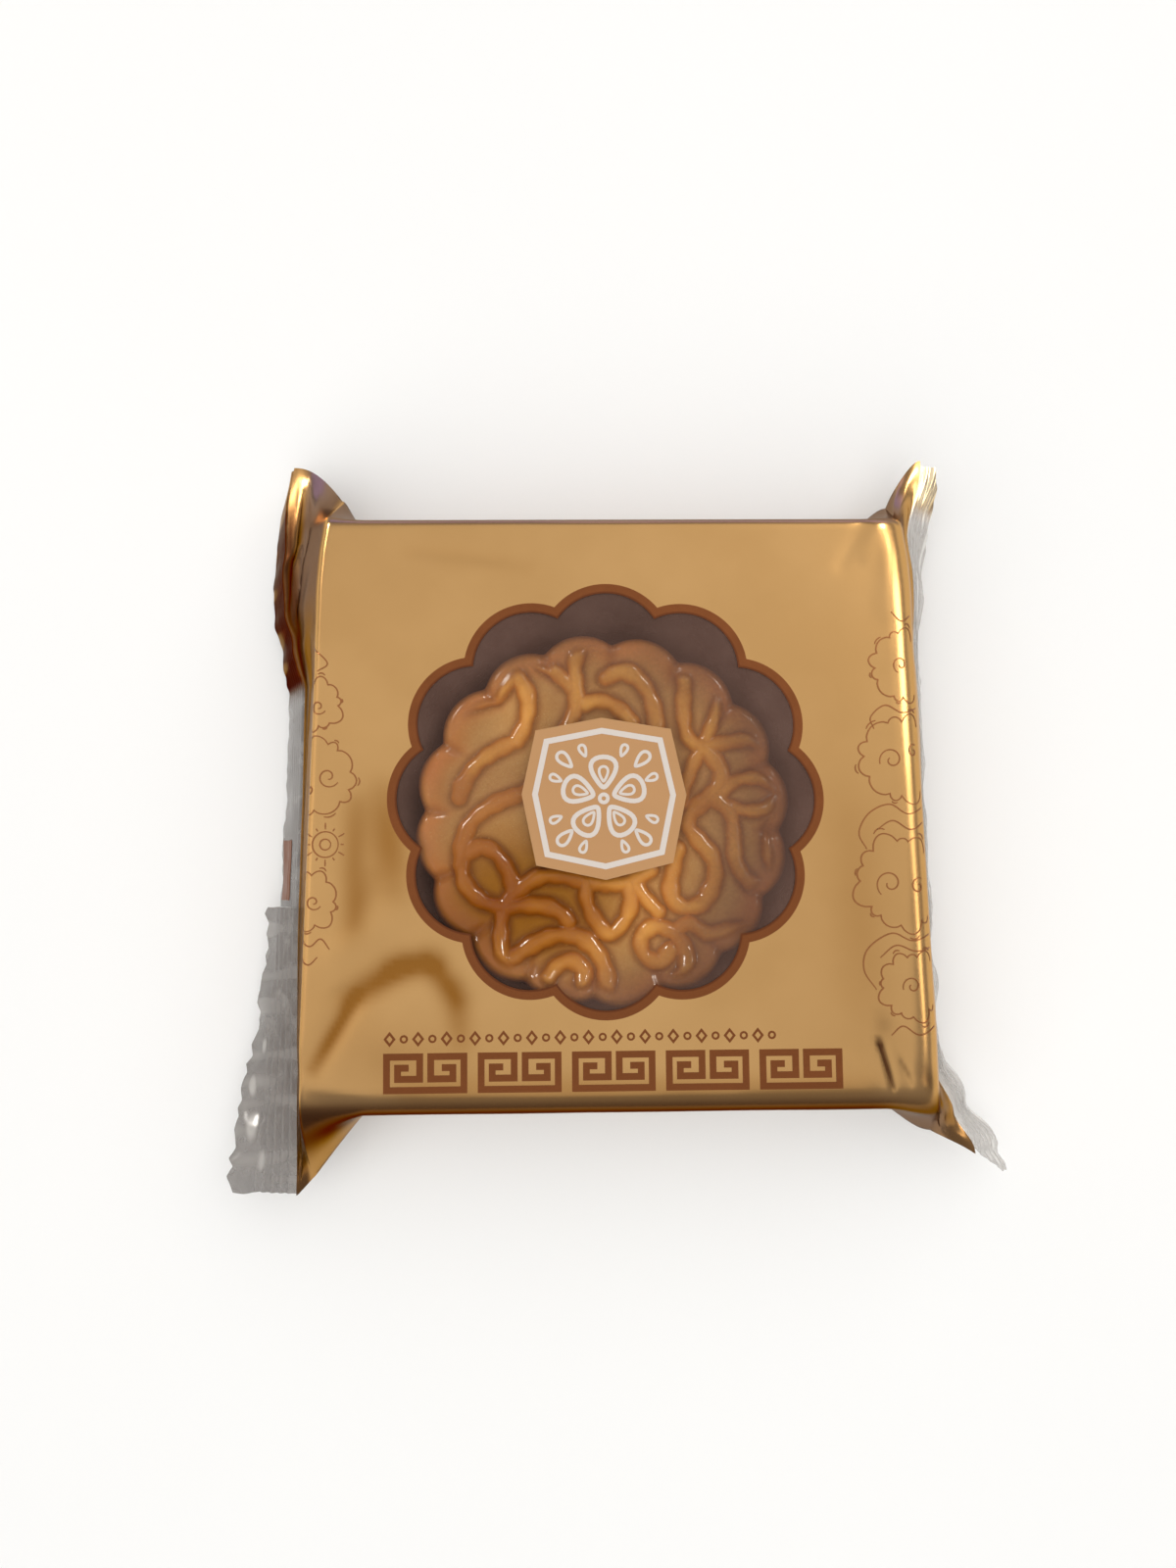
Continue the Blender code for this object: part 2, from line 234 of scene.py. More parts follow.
def join(pieces: Sequence[bpy.types.Object], name: str) -> bpy.types.Object:
    """Joins several objects into the first one and names it."""
    clear_choice()
    for piece in pieces:
        piece.select_set(True)
    bpy.context.view_layer.objects.active = pieces[0]
    if len(pieces) > 1:
        bpy.ops.object.join()
    pieces[0].name = pieces[0].data.name = name
    return pieces[0]


def dress(piece: bpy.types.Object, finish: bpy.types.Material, slot: Slot, *replaced: str) -> bpy.types.Object:
    """Gives a piece its finish and its body, and hides the CAD nodes that it stands for."""
    piece.data.materials.clear()
    piece.data.materials.append(finish)
    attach(piece, "root")
    if replaced:
        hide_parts(*replaced)
    LOG.info("%s: %d faces", piece.name, len(piece.data.polygons))
    return piece


# ------------------------------------------------------------- small formulas


def smooth_step(low: float, high: float, at: np.ndarray) -> np.ndarray:
    """Rises smoothly from 0 at low to 1 at high."""
    t = np.clip((at - low) / (high - low), 0.0, 1.0)
    return t * t * (3 - 2 * t)


def ripple(p: np.ndarray, q: np.ndarray, pitch: float, seed: float) -> np.ndarray:
    """A smooth random-looking swell between about -1 and 1.

    Args:
        p: First coordinate, in millimetres.
        q: Second coordinate, in millimetres.
        pitch: Typical length of one swell, in millimetres.
        seed: Any number; it shifts the pattern.

    Returns:
        The height of the swell at each place.
    """
    total = np.zeros(np.broadcast(p, q).shape)
    for k in range(5):
        heading = seed * 1.7 + k * 2.399
        stretch = 2 * math.pi / (pitch * (0.75 + 0.17 * k))
        total = total + np.sin(
            (p * math.cos(heading) + q * math.sin(heading)) * stretch + seed * 5.1 + k * k * 1.3
        )
    return total / 2.8


def through(points: Sequence[Point], step: float) -> Line:
    """Even points along a smooth curve through a few given ones.

    Args:
        points: The places that the curve passes, in millimetres.
        step: The distance between the points returned.

    Returns:
        An (n, 2) array of places.
    """
    given = np.array(points, float)
    if len(given) == 2:
        count = max(2, round(float(np.hypot(*(given[1] - given[0]))) / step) + 1)
        return given[0] + (given[1] - given[0]) * np.linspace(0, 1, count)[:, None]
    knots = np.vstack([2 * given[0] - given[1], given, 2 * given[-1] - given[-2]])
    fine = []
    for a, b, c, d in zip(knots, knots[1:], knots[2:], knots[3:]):
        t = np.linspace(0, 1, 24, endpoint=False)[:, None]
        fine.append(
            0.5 * (2 * b + (c - a) * t + (2 * a - 5 * b + 4 * c - d) * t**2 + (3 * b - a - 3 * c + d) * t**3)
        )
    fine = np.vstack([*fine, given[-1:]])
    run = np.concatenate([[0], np.cumsum(np.hypot(*np.diff(fine, axis=0).T))])
    count = max(2, round(run[-1] / step) + 1)
    at = np.linspace(0, run[-1], count)
    return np.stack([np.interp(at, run, fine[:, k]) for k in (0, 1)], axis=1)


def spiral(centre: Point, outer: float, inner: float, start: float, sweep: float, step: float = 0.4) -> Line:
    """A curl that winds in from its outer end.

    Args:
        centre: The curl's middle, in millimetres.
        outer: Its radius where it starts.
        inner: Its radius where it ends.
        start: The angle of its outer end, in degrees.
        sweep: How far it turns, in degrees; negative is clockwise.
        step: The distance between the points returned.

    Returns:
        An (n, 2) array of places.
    """
    count = max(6, round(abs(math.radians(sweep)) * (outer + inner) / 2 / step))
    t = np.linspace(0, 1, count)
    angle = np.radians(start + sweep * t)
    reach = outer + (inner - outer) * t
    return np.stack([centre[0] + reach * np.cos(angle), centre[1] + reach * np.sin(angle)], axis=1)


def lobed_radius(angle: np.ndarray, lobes: int, out: float, radius: float, first: float) -> np.ndarray:
    """Distance from the centre to the edge of a ring of overlapping discs.

    Args:
        angle: Direction from the centre, in radians.
        lobes: How many discs the ring has.
        out: How far each disc's centre lies from the middle.
        radius: Each disc's radius.
        first: The direction of one cusp between two discs.

    Returns:
        The distance in each direction.
    """
    half = math.pi / lobes
    p = np.mod(angle - first, 2 * half) - half
    return out * np.cos(p) + np.sqrt(np.maximum(radius**2 - (out * np.sin(p)) ** 2, 0.0))


@dataclass(frozen=True)
class Table:
    """Pairs of Y and value, in millimetres or degrees, from the back to the front."""

    pairs: tuple[Point, ...]

    def at(self, y: np.ndarray) -> np.ndarray:
        """Reads the table smoothly at each y."""
        places = np.array([p[0] for p in self.pairs][::-1], float)
        values = np.array([p[1] for p in self.pairs][::-1], float)
        k = np.clip(np.searchsorted(places, y) - 1, 0, len(places) - 2)
        t = np.clip((y - places[k]) / (places[k + 1] - places[k]), 0.0, 1.0)
        return values[k] + (values[k + 1] - values[k]) * t * t * (3 - 2 * t)


@dataclass(frozen=True)
class Fold:
    """A crease or a dent along a line on the film, in millimetres."""

    start: Point
    end: Point
    width: float
    height: float
    sharp: bool = False

    def lift(self, p: np.ndarray, q: np.ndarray) -> np.ndarray:
        """How far the fold raises the film at each place."""
        (x0, y0), (x1, y1) = self.start, self.end
        run = math.hypot(x1 - x0, y1 - y0) or 1e-6
        t = ((p - x0) * (x1 - x0) + (q - y0) * (y1 - y0)) / run**2
        held = np.clip(t, 0.0, 1.0)
        away = np.hypot(p - x0 - held * (x1 - x0), q - y0 - held * (y1 - y0)) / self.width
        fade = np.sin(np.clip(0.12 + held * 0.76, 0, 1) * math.pi) ** 0.5
        if self.sharp:
            return self.height * np.maximum(1 - away, 0) ** 1.3 * fade
        return self.height * np.exp(-(away**2)) * fade


# -------------------------------------------------------------------- finishes


class Board:
    """A material's node tree, with short ways to add to it."""

    def __init__(self, name: str) -> None:
        """Starts a material that holds only its main shader."""
        self.material = bpy.data.materials.new(name)
        self.material.use_nodes = True
        self.tree = self.material.node_tree
        self.shader = self.tree.nodes["Principled BSDF"]

    def add(self, kind: str, inputs: Optional[dict] = None, **settings: object) -> bpy.types.Node:
        """Adds a node.

        Args:
            kind: The node's type name without its ShaderNode prefix.
            inputs: Plain values, or other nodes' sockets, by input name or number.
            settings: The node's own properties.

        Returns:
            The new node.
        """
        return add_node(self.tree, kind, inputs, **settings)

    def feed(self, **inputs: object) -> None:
        """Sets the main shader's inputs; an underscore in a name stands for a space."""
        fill(self.tree, self.shader, {key.replace("_", " "): value for key, value in inputs.items()})


def fill(tree: bpy.types.NodeTree, node: bpy.types.Node, inputs: dict) -> None:
    """Links or sets a node's inputs."""
    for key, value in inputs.items():
        if isinstance(value, bpy.types.NodeSocket):
            tree.links.new(value, node.inputs[key])
        elif isinstance(value, tuple) and len(value) == 3 and node.inputs[key].type == "RGBA":
            node.inputs[key].default_value = (*value, 1.0)
        else:
            node.inputs[key].default_value = value


def add_node(
    tree: bpy.types.NodeTree, kind: str, inputs: Optional[dict] = None, **settings: object
) -> bpy.types.Node:
    """Adds a node to a tree, sets its properties and fills its inputs."""
    node = tree.nodes.new("ShaderNode" + kind)
    for key, value in settings.items():
        setattr(node, key, value)
    fill(tree, node, inputs or {})
    return node


def blend(board: Board, share: object, first: object, second: object, mode: str = "MIX") -> bpy.types.NodeSocket:
    """Mixes two colours and returns the result's socket."""
    node = board.add("Mix", data_type="RGBA", blend_type=mode)
    fill(board.tree, node, {0: share, 6: first, 7: second})
    return node.outputs[2]


def reckon(board: Board, operation: str, *values: object) -> bpy.types.NodeSocket:
    """Adds a Math node and returns its socket."""
    node = board.add("Math", operation=operation)
    fill(board.tree, node, dict(enumerate(values)))
    return node.outputs[0]


def ranged(board: Board, value: object, low: float, high: float, out_low: float, out_high: float) -> bpy.types.NodeSocket:
    """Maps a value from one range to another and returns its socket."""
    node = board.add("MapRange", clamp=True)
    fill(board.tree, node, {0: value, 1: low, 2: high, 3: out_low, 4: out_high})
    return node.outputs[0]


def attribute(board: Board, name: str) -> bpy.types.NodeSocket:
    """Reads one of the piece's own vertex values."""
    return board.add("Attribute", attribute_name=name).outputs["Fac"]


class Effects:
    """Node groups that several finishes share, each built once."""

    _made: dict = {}

    @classmethod
    def group(cls, name: str) -> bpy.types.NodeTree:
        """The group of that name, built on first use."""
        if name not in cls._made:
            cls._made[name] = getattr(cls, "_build_" + name)()
        return cls._made[name]

    @staticmethod
    def _start(name: str, inputs: Sequence[tuple[str, float]], outputs: Sequence[str]) -> tuple:
        """A new group with number inputs and outputs.

        Args:
            name: The group's name.
            inputs: Each input's name and its usual value.
            outputs: Each output's name.

        Returns:
            The tree, its input node and its output node.
        """
        tree = bpy.data.node_groups.new(name, "ShaderNodeTree")
        for label, value in inputs:
            socket = tree.interface.new_socket(label, in_out="INPUT", socket_type="NodeSocketFloat")
            socket.default_value = value
        for label in outputs:
            tree.interface.new_socket(label, in_out="OUTPUT", socket_type="NodeSocketFloat")
        return tree, tree.nodes.new("NodeGroupInput"), tree.nodes.new("NodeGroupOutput")

    @classmethod
    def _build_mottle(cls) -> bpy.types.NodeTree:
        """Soft patches and fine grain on object coordinates.

        Returns:
            A group with the inputs Patch and Grain, noise scales per metre, and
            the outputs Patches and Grains, both about 0 to 1.
        """
        tree, given, made = cls._start("mottle", [("Patch", 120.0), ("Grain", 2500.0)], ["Patches", "Grains"])
        place_of = add_node(tree, "TexCoord").outputs["Object"]
        patches = add_node(
            tree, "TexNoise", {"Vector": place_of, "Scale": given.outputs["Patch"], "Detail": 3.0, "Roughness": 0.55}
        )
        grains = add_node(
            tree, "TexNoise", {"Vector": place_of, "Scale": given.outputs["Grain"], "Detail": 2.0, "Roughness": 0.6}
        )
        tree.links.new(patches.outputs["Fac"], made.inputs["Patches"])
        tree.links.new(grains.outputs["Fac"], made.inputs["Grains"])
        return tree

    @classmethod
    def place(cls, board: Board, name: str, inputs: dict) -> bpy.types.Node:
        """Puts a group into a material with its own values."""
        node = board.tree.nodes.new("ShaderNodeGroup")
        node.node_tree = cls.group(name)
        fill(board.tree, node, inputs)
        return node


@dataclass(frozen=True)
class GoldFoil:
    """Satin gold metallised film, with fine cross lines from the printing."""

    gold: tuple = (0.585, 0.334, 0.120)
    pale: tuple = (0.630, 0.366, 0.136)
    # Painted shade and reflection colours: the next four stand for shade in the pressed hollows, shade on the shaded
    # sides, a cool reflection and shade in the creases.
    hollow_shade_amber: tuple = (0.330, 0.138, 0.024)
    shade_bronze: tuple = (0.190, 0.080, 0.026)
    reflection_mauve: tuple = (0.215, 0.148, 0.112)
    crease: tuple = (0.075, 0.022, 0.008)
    grazing: tuple = (0.86, 0.72, 0.54)
    deep_grazing: tuple = (0.40, 0.29, 0.20)
    cool_grazing: tuple = (0.56, 0.47, 0.42)
    roughness: float = 0.255
    line_pitch: float = 5200.0
    line_depth: float = 0.005

    def material(self) -> bpy.types.Material:
        """Builds the finish.

        Four vertex values paint shade and reflection into the colour: painted
        shade in the pressed hollows turns the gold a deeper, warmer gold, painted
        shade on the shaded sides a dull brown, a painted cool reflection a
        violet-grey, and painted shade in the creases a dark brown.
        """
        board = Board("gold_foil")
        mottle = Effects.place(board, "mottle", {"Patch": 70.0, "Grain": 3000.0})
        gold = blend(board, ranged(board, mottle.outputs["Patches"], 0.35, 0.7, 0.0, 1.0), self.gold, self.pale)
        # Painted shade in the top's pressed hollows.
        colour = blend(board, attribute(board, "hollow_shade"), gold, self.hollow_shade_amber)
        # Painted shade on the film's shaded front, ends and ears.
        colour = blend(board, attribute(board, "shade_tone"), colour, self.shade_bronze)
        # Painted reflection of the cool surroundings.
        colour = blend(board, attribute(board, "cool_reflection"), colour, self.reflection_mauve)
        # Painted shade in the folds, slits and under the front edge.
        colour = blend(board, attribute(board, "crease"), colour, self.crease)
        spot = board.add("TexCoord").outputs["Object"]
        spread = board.add("Mapping", {"Vector": spot, "Scale": (0.12, 1.0, 1.0)})
        lines = board.add(
            "TexNoise", {"Vector": spread.outputs[0], "Scale": self.line_pitch, "Detail": 1.0, "Roughness": 0.5}
        )
        bump = board.add("Bump", {"Strength": 0.06, "Distance": self.line_depth * MM, "Height": lines.outputs["Fac"]})
        grain = ranged(board, mottle.outputs["Grains"], 0.3, 0.7, self.roughness - 0.008, self.roughness + 0.012)
        # Where shade is painted, the reflections are darkened to match.
        shaded = reckon(board, "MAXIMUM", attribute(board, "shade_tone"), attribute(board, "crease"))
        tint = blend(board, shaded, self.grazing, self.deep_grazing)
        tint = blend(board, attribute(board, "cool_reflection"), tint, self.cool_grazing)
        board.feed(Base_Color=colour, Metallic=1.0, Roughness=grain, Specular_Tint=tint, Normal=bump.outputs[0])
        return board.material


@dataclass(frozen=True)
class BadgeGold:
    """The badge's matt gold print."""

    gold: tuple = (0.400, 0.208, 0.078)
    pale: tuple = (0.435, 0.230, 0.088)

    def material(self) -> bpy.types.Material:
        """Builds the finish with a faint printing grain."""
        board = Board("badge_gold")
        mottle = Effects.place(board, "mottle", {"Patch": 200.0, "Grain": 6000.0})
        gloss = ranged(board, mottle.outputs["Grains"], 0.3, 0.7, 0.5, 0.62)
        board.feed(Base_Color=blend(board, mottle.outputs["Grains"], self.gold, self.pale), Metallic=0.3, Roughness=gloss)
        return board.material


@dataclass(frozen=True)
class Ink:
    """Matt printing ink with a little of the foil's sheen."""

    name: str
    colour: tuple
    deep: tuple
    roughness: float = 0.36
    metallic: float = 0.85

    def material(self) -> bpy.types.Material:
        """Builds the finish; the vertex value rim darkens it."""
        board = Board(self.name)
        mottle = Effects.place(board, "mottle", {"Patch": 400.0, "Grain": 9000.0})
        uneven = ranged(board, mottle.outputs["Grains"], 0.3, 0.7, 0.0, 0.35)
        ink = blend(board, uneven, self.colour, self.deep)
        colour = blend(board, attribute(board, "rim"), ink, self.deep)
        gloss = ranged(board, mottle.outputs["Patches"], 0.3, 0.7, self.roughness - 0.05, self.roughness + 0.05)
        board.feed(Base_Color=colour, Metallic=self.metallic, Roughness=gloss)
        return board.material


@dataclass(frozen=True)
class ClearFilm:
    """Clear film that looks misty where it doesn't touch what is behind it."""

    mist: tuple = (0.112, 0.061, 0.046)
    glossy_tint: tuple = (0.140, 0.080, 0.061)
    roughness: float = 0.22

    def material(self) -> bpy.types.Material:
        """Builds the finish; the vertex value haze is its opacity."""
        board = Board("window_film")
        mottle = Effects.place(board, "mottle", {"Patch": 160.0, "Grain": 2200.0})
        colour = blend(board, ranged(board, mottle.outputs["Patches"], 0.3, 0.7, 0.0, 1.0), self.mist, self.glossy_tint)
        uneven = ranged(board, mottle.outputs["Grains"], 0.3, 0.7, 0.93, 1.07)
        opacity = reckon(board, "MULTIPLY", attribute(board, "haze"), uneven)
        board.feed(Base_Color=colour, Roughness=self.roughness, Alpha=opacity, Specular_IOR_Level=0.06)
        return board.material


@dataclass(frozen=True)
class MilkyFilm:
    """Crimped plastic film, milky and half clear, with whiter pressed spots and painted glints."""

    name: str = "seal_film"
    body: tuple = (0.130, 0.108, 0.092)
    white_and_glint: tuple = (0.46, 0.44, 0.41)
    gilt_shade: tuple = (0.150, 0.060, 0.022)
    gilt_glint: tuple = (0.420, 0.240, 0.100)
    gilt_edge: tuple = (0.27, 0.175, 0.105)
    grain: float = 0.3
    thin: float = 0.52
    dense: float = 0.92
    roughness: float = 0.24

    def material(self) -> bpy.types.Material:
        """Builds the finish.

        One vertex value whitens it and makes it denser: partly pressed whitening,
        partly painted highlight. The other, gilt, turns it into the printed gold
        film that it continues, painted dark brown as shade and paler where the
        highlight is painted.
        """
        board = Board(self.name)
        mottle = Effects.place(board, "mottle", {"Patch": 330.0, "Grain": 3000.0})
        patches = ranged(board, mottle.outputs["Patches"], 0.42, 0.72, 0.0, 0.5)
        milk_and_glint = attribute(board, "milk_and_glint")
        white = reckon(board, "MAXIMUM", patches, milk_and_glint)
        clear = blend(board, white, self.body, self.white_and_glint)
        gilt = attribute(board, "gilt")
        # Painted shade and painted highlight on the gilt strip.
        gold = blend(board, ranged(board, milk_and_glint, 0.35, 0.9, 0.0, 1.0), self.gilt_shade, self.gilt_glint)
        colour = blend(board, gilt, clear, gold)
        edge = blend(board, ranged(board, milk_and_glint, 0.35, 0.9, 0.0, 1.0), self.gilt_edge, (0.85, 0.70, 0.50))
        tint = blend(board, gilt, (1.0, 1.0, 1.0), edge)
        opacity = reckon(board, "MAXIMUM", ranged(board, white, 0.0, 1.0, self.thin, self.dense), gilt)
        bump = board.add("Bump", {"Strength": self.grain, "Distance": 0.03 * MM, "Height": mottle.outputs["Grains"]})
        board.feed(
            Base_Color=colour, Roughness=self.roughness, Metallic=gilt, Alpha=opacity, Specular_Tint=tint,
            Normal=bump.outputs[0],
        )
        return board.material


@dataclass(frozen=True)
class TrayPlastic:
    """Thin glossy dark-brown moulded plastic."""

    dark: tuple = (0.020, 0.013, 0.011)
    worn: tuple = (0.045, 0.031, 0.026)

    def material(self) -> bpy.types.Material:
        """Builds the finish with faint patches and a moulded grain."""
        board = Board("tray_plastic")
        mottle = Effects.place(board, "mottle", {"Patch": 90.0, "Grain": 2600.0})
        colour = blend(board, ranged(board, mottle.outputs["Patches"], 0.35, 0.7, 0.0, 1.0), self.dark, self.worn)
        bump = board.add("Bump", {"Strength": 0.25, "Distance": 0.03 * MM, "Height": mottle.outputs["Grains"]})
        gloss = ranged(board, mottle.outputs["Patches"], 0.3, 0.7, 0.22, 0.36)
        board.feed(Base_Color=colour, Roughness=gloss, Normal=bump.outputs[0])
        return board.material


@dataclass(frozen=True)
class BakedCrust:
    """Glazed golden crust: olive-gold ground, orange-brown ridges, and painted shade at the ridges' feet, in the
    grooves and on the ridges' sides.
    """

    ground: tuple = (0.500, 0.240, 0.068)
    ground_pale: tuple = (0.620, 0.335, 0.110)
    foot_shade_colour: tuple = (0.270, 0.085, 0.016)
    ridge: tuple = (0.900, 0.420, 0.080)
    brown_and_side_shade: tuple = (0.560, 0.200, 0.034)
    rim: tuple = (0.680, 0.235, 0.055)
    flank: tuple = (0.270, 0.086, 0.026)
    # Darker, more saturated colour towards the lower left, where the film clings.
    lower_left_dark: tuple = (0.42, 0.30, 0.035)
    # Painted shade: multiplied over the cake's right and outer parts and its sides.
    dim: tuple = (0.50, 0.44, 0.42)
    roughness: float = 0.42

    def material(self) -> bpy.types.Material:
        """Builds the finish; it reads the cake's vertex values by name."""
        board = Board("baked_crust_glaze")
        mottle = Effects.place(board, "mottle", {"Patch": 260.0, "Grain": 5200.0})
        fine = ranged(board, mottle.outputs["Grains"], 0.3, 0.72, 0.0, 1.0)
        soft = ranged(board, mottle.outputs["Patches"], 0.35, 0.68, 0.0, 1.0)
        low = blend(board, reckon(board, "MULTIPLY", reckon(board, "ADD", fine, soft), 0.5), self.ground, self.ground_pale)
        low = blend(board, attribute(board, "rim"), low, self.rim)
        # Painted shade: the ground darkens at the ridges' feet and in the grooves.
        low = blend(board, attribute(board, "foot"), low, self.foot_shade_colour)
        brown = reckon(board, "MAXIMUM", reckon(board, "MULTIPLY", soft, 0.6), attribute(board, "warm"))
        crest = attribute(board, "crest")
        # Baking browns some ridges more than others; the same brown is also painted onto every ridge's sides as shade,
        # leaving the crests lighter.
        high = blend(board, brown, self.ridge, self.brown_and_side_shade)
        high = blend(board, ranged(board, crest, 0.45, 0.95, 0.0, 1.0), self.brown_and_side_shade, high)
        baked = blend(board, ranged(board, crest, 0.05, 0.45, 0.0, 1.0), low, high)
        colour = blend(board, attribute(board, "flank"), baked, self.flank)
        speck = board.add("TexVoronoi", {"Scale": 1500.0, "Randomness": 1.0})
        fill(board.tree, speck, {"Vector": board.add("TexCoord").outputs["Object"]})
        crumb = reckon(board, "LESS_THAN", speck.outputs["Distance"], 0.16)
        colour = blend(board, reckon(board, "MULTIPLY", crumb, 0.25), colour, (0.70, 0.46, 0.16))
        # Darker and more saturated towards the lower left, where the film clings.
        colour = blend(board, attribute(board, "lower_left_dark"), colour, self.lower_left_dark, "MULTIPLY")
        # Painted shade towards the cake's right and outer edge and on its sides.
        colour = blend(board, attribute(board, "dim"), colour, self.dim, "MULTIPLY")
        height = reckon(board, "ADD", mottle.outputs["Grains"], reckon(board, "MULTIPLY", mottle.outputs["Patches"], 1.5))
        bump = board.add("Bump", {"Strength": 0.25, "Distance": 0.05 * MM, "Height": height})
        gloss = ranged(board, mottle.outputs["Grains"], 0.3, 0.7, self.roughness - 0.08, self.roughness + 0.1)
        glaze = reckon(board, "MAXIMUM", ranged(board, crest, 0.1, 0.6, 0.03, 0.38), reckon(board, "MULTIPLY", attribute(board, "rim"), 0.5))
        board.feed(
            Base_Color=colour, Roughness=gloss, Normal=bump.outputs[0], Specular_IOR_Level=0.06,
            Coat_Weight=glaze, Coat_Roughness=0.12,
        )
        return board.material


@dataclass(frozen=True)
class StudioPaper:
    """Plain pale paper for the floor."""

    pale: tuple = (0.84, 0.84, 0.83)
    paler: tuple = (0.87, 0.87, 0.86)

    def material(self) -> bpy.types.Material:
        """Builds the matt finish."""
        board = Board("studio_paper")
        mottle = Effects.place(board, "mottle", {"Patch": 6.0, "Grain": 300.0})
        board.feed(Base_Color=blend(board, mottle.outputs["Patches"], self.pale, self.paler), Roughness=0.9)
        return board.material


# ------------------------------------------------------------ the film's shape


@dataclass(frozen=True)
class Ear:
    """How one corner of the tube spreads into its ear.

    Shares run from 0, a square corner, to 1, the wall folded out flat.
    """

    start: float
    at_edge: float
    at_seal: float
    rise: float
    run_out: float
    convex: bool

    def spread(self, inset: float, share: float) -> float:
        """The spread at a distance in from the end edge, or at a share of the way out to the seal."""
        inner = self.at_edge * max((self.start - inset) / self.start, 0.0) ** self.rise
        if share <= 0:
            return inner
        way = 1 - (1 - share) ** self.run_out if self.convex else share**self.run_out
        return self.at_edge + (self.at_seal - self.at_edge) * way


@dataclass(frozen=True)
class FilmShape:
    """The surface of the film tube: body, rounded end edges, end panels and ears.

    A place on the film is a point of the tube's (y, z) section and a station
    along the tube. All lengths are millimetres.
    """

    depth: float = 79.5
    height: float = 24.0
    half_length: float = 40.8
    flare: float = 1.3
    back_radius: float = 1.1
    front_radius: float = 3.3
    front_push: float = 0.55
    base_radius: float = 2.5
    seal_level: float = 11.5
    left_round: float = 0.6
    right_round: float = 3.4
    straight: float = 8.0
    left_reach: Table = Table(
        ((52, 7.7), (45, 8.3), (37, 8.1), (30, 7.2), (25, 5.8), (18, 4.0), (0, 3.7), (-12, 3.6), (-36, 3.0), (-52, 2.5))
    )
    right_reach: Table = Table(
        ((52, 7.3), (40, 4.6), (18, 3.6), (0, 3.2), (-30, 2.9), (-36.5, 3.5), (-42, 5.6), (-47.6, 8.3), (-52, 9.6))
    )
    back_left: Ear = Ear(5.3, 0.52, 0.95, 1.6, 2.2, True)
    front_left: Ear = Ear(8.0, 0.85, 1.06, 1.1, 1.5, True)
    back_right: Ear = Ear(5.5, 0.42, 1.03, 1.3, 1.8, True)
    front_right: Ear = Ear(6.5, 0.40, 0.69, 1.3, 1.0, False)
    dents: tuple = (
        Fold((-32.0, 2.0), (-33.0, -11.0), 3.4, -0.14),
        Fold((-39.6, -32.8), (-34.6, -24.4), 1.6, -0.16),
        Fold((-34.6, -24.4), (-29.0, -20.8), 2.2, -0.15),
        Fold((-29.0, -20.8), (-24.6, -20.4), 2.2, -0.13),
        Fold((-24.6, -20.4), (-21.6, -27.0), 2.2, -0.11),
        Fold((-37.0, -18.4), (-30.0, -14.4), 2.0, 0.12),
        Fold((-31.0, -27.0), (-27.0, -33.0), 3.4, 0.13),
        Fold((-37.8, -24.6), (-36.4, -23.4), 0.5, -0.10),
        Fold((-27.0, 35.2), (-9.0, 33.2), 1.1, -0.05),
        Fold((-24.0, 31.6), (-4.0, 34.0), 1.5, 0.04),
        Fold((34.0, 39.0), (30.5, 33.0), 0.8, -0.12),
        Fold((36.5, 39.2), (34.0, 34.5), 0.9, 0.14),
        Fold((38.0, 36.5), (36.5, 27.0), 1.4, 0.12),
        Fold((34.2, -31.0), (35.8, -37.0), 0.6, -0.22, True),
        Fold((35.2, -31.0), (36.8, -36.6), 0.7, 0.08),
        Fold((37.0, -33.6), (38.2, -35.8), 0.5, -0.10, True),
        Fold((40.2, -34.6), (41.0, -37.2), 1.2, -0.10),
        Fold((29.4, -32.6), (33.0, -36.0), 0.5, 0.08),
        Fold((-34.0, -38.4), (-41.0, -37.2), 0.8, -0.20),
        Fold((16.0, -35.5), (33.0, -36.2), 1.2, 0.07),
        Fold((-20.0, -35.0), (4.0, -35.6), 1.3, -0.05),
    )
    left_folds: tuple = (
        Fold((50.4, 8.6), (43.0, 6.4), 0.9, 0.42, True),
        Fold((47.5, 10.4), (38.0, 11.2), 1.1, -0.55, True),
        Fold((40.0, 7.6), (29.0, 10.6), 1.4, -0.75, True),
        Fold((38.5, 9.6), (27.0, 11.6), 1.0, 0.5, True),
        Fold((33.0, 4.0), (20.0, 9.0), 1.8, 0.35),
        Fold((24.0, 5.0), (6.0, 9.6), 1.3, -0.45, True),
        Fold((10.0, 5.0), (-8.0, 6.0), 1.8, 0.35),
        Fold((-9.0, 4.0), (-24.0, 8.6), 1.2, -0.40, True),
        Fold((-20.0, 5.0), (-37.0, 6.5), 1.5, 0.35),
        Fold((-38.0, 3.0), (-49.0, 9.5), 1.2, -0.5, True),
    )
    right_folds: tuple = (
        Fold((47.0, 8.0), (41.0, 4.0), 1.3, -0.5, True),
        Fold((44.0, 10.6), (28.0, 11.2), 1.2, 0.5, True),
        Fold((33.0, 4.6), (21.0, 9.0), 1.3, -0.4, True),
        Fold((19.0, 4.6), (2.0, 7.4), 1.6, 0.4),
        Fold((-2.0, 4.6), (-18.0, 8.6), 1.2, -0.4, True),
        Fold((-22.0, 5.6), (-36.0, 7.0), 1.5, 0.4),
        Fold((-38.0, 4.0), (-49.0, 10.0), 1.3, -0.6, True),
        Fold((-42.0, 7.0), (-50.0, 9.6), 1.1, 0.5, True),
    )

    def reach(self, side: Side, y: np.ndarray) -> np.ndarray:
        """How far the seal line lies beyond the body's end."""
        return (self.left_reach if side is Side.LEFT else self.right_reach).at(y)

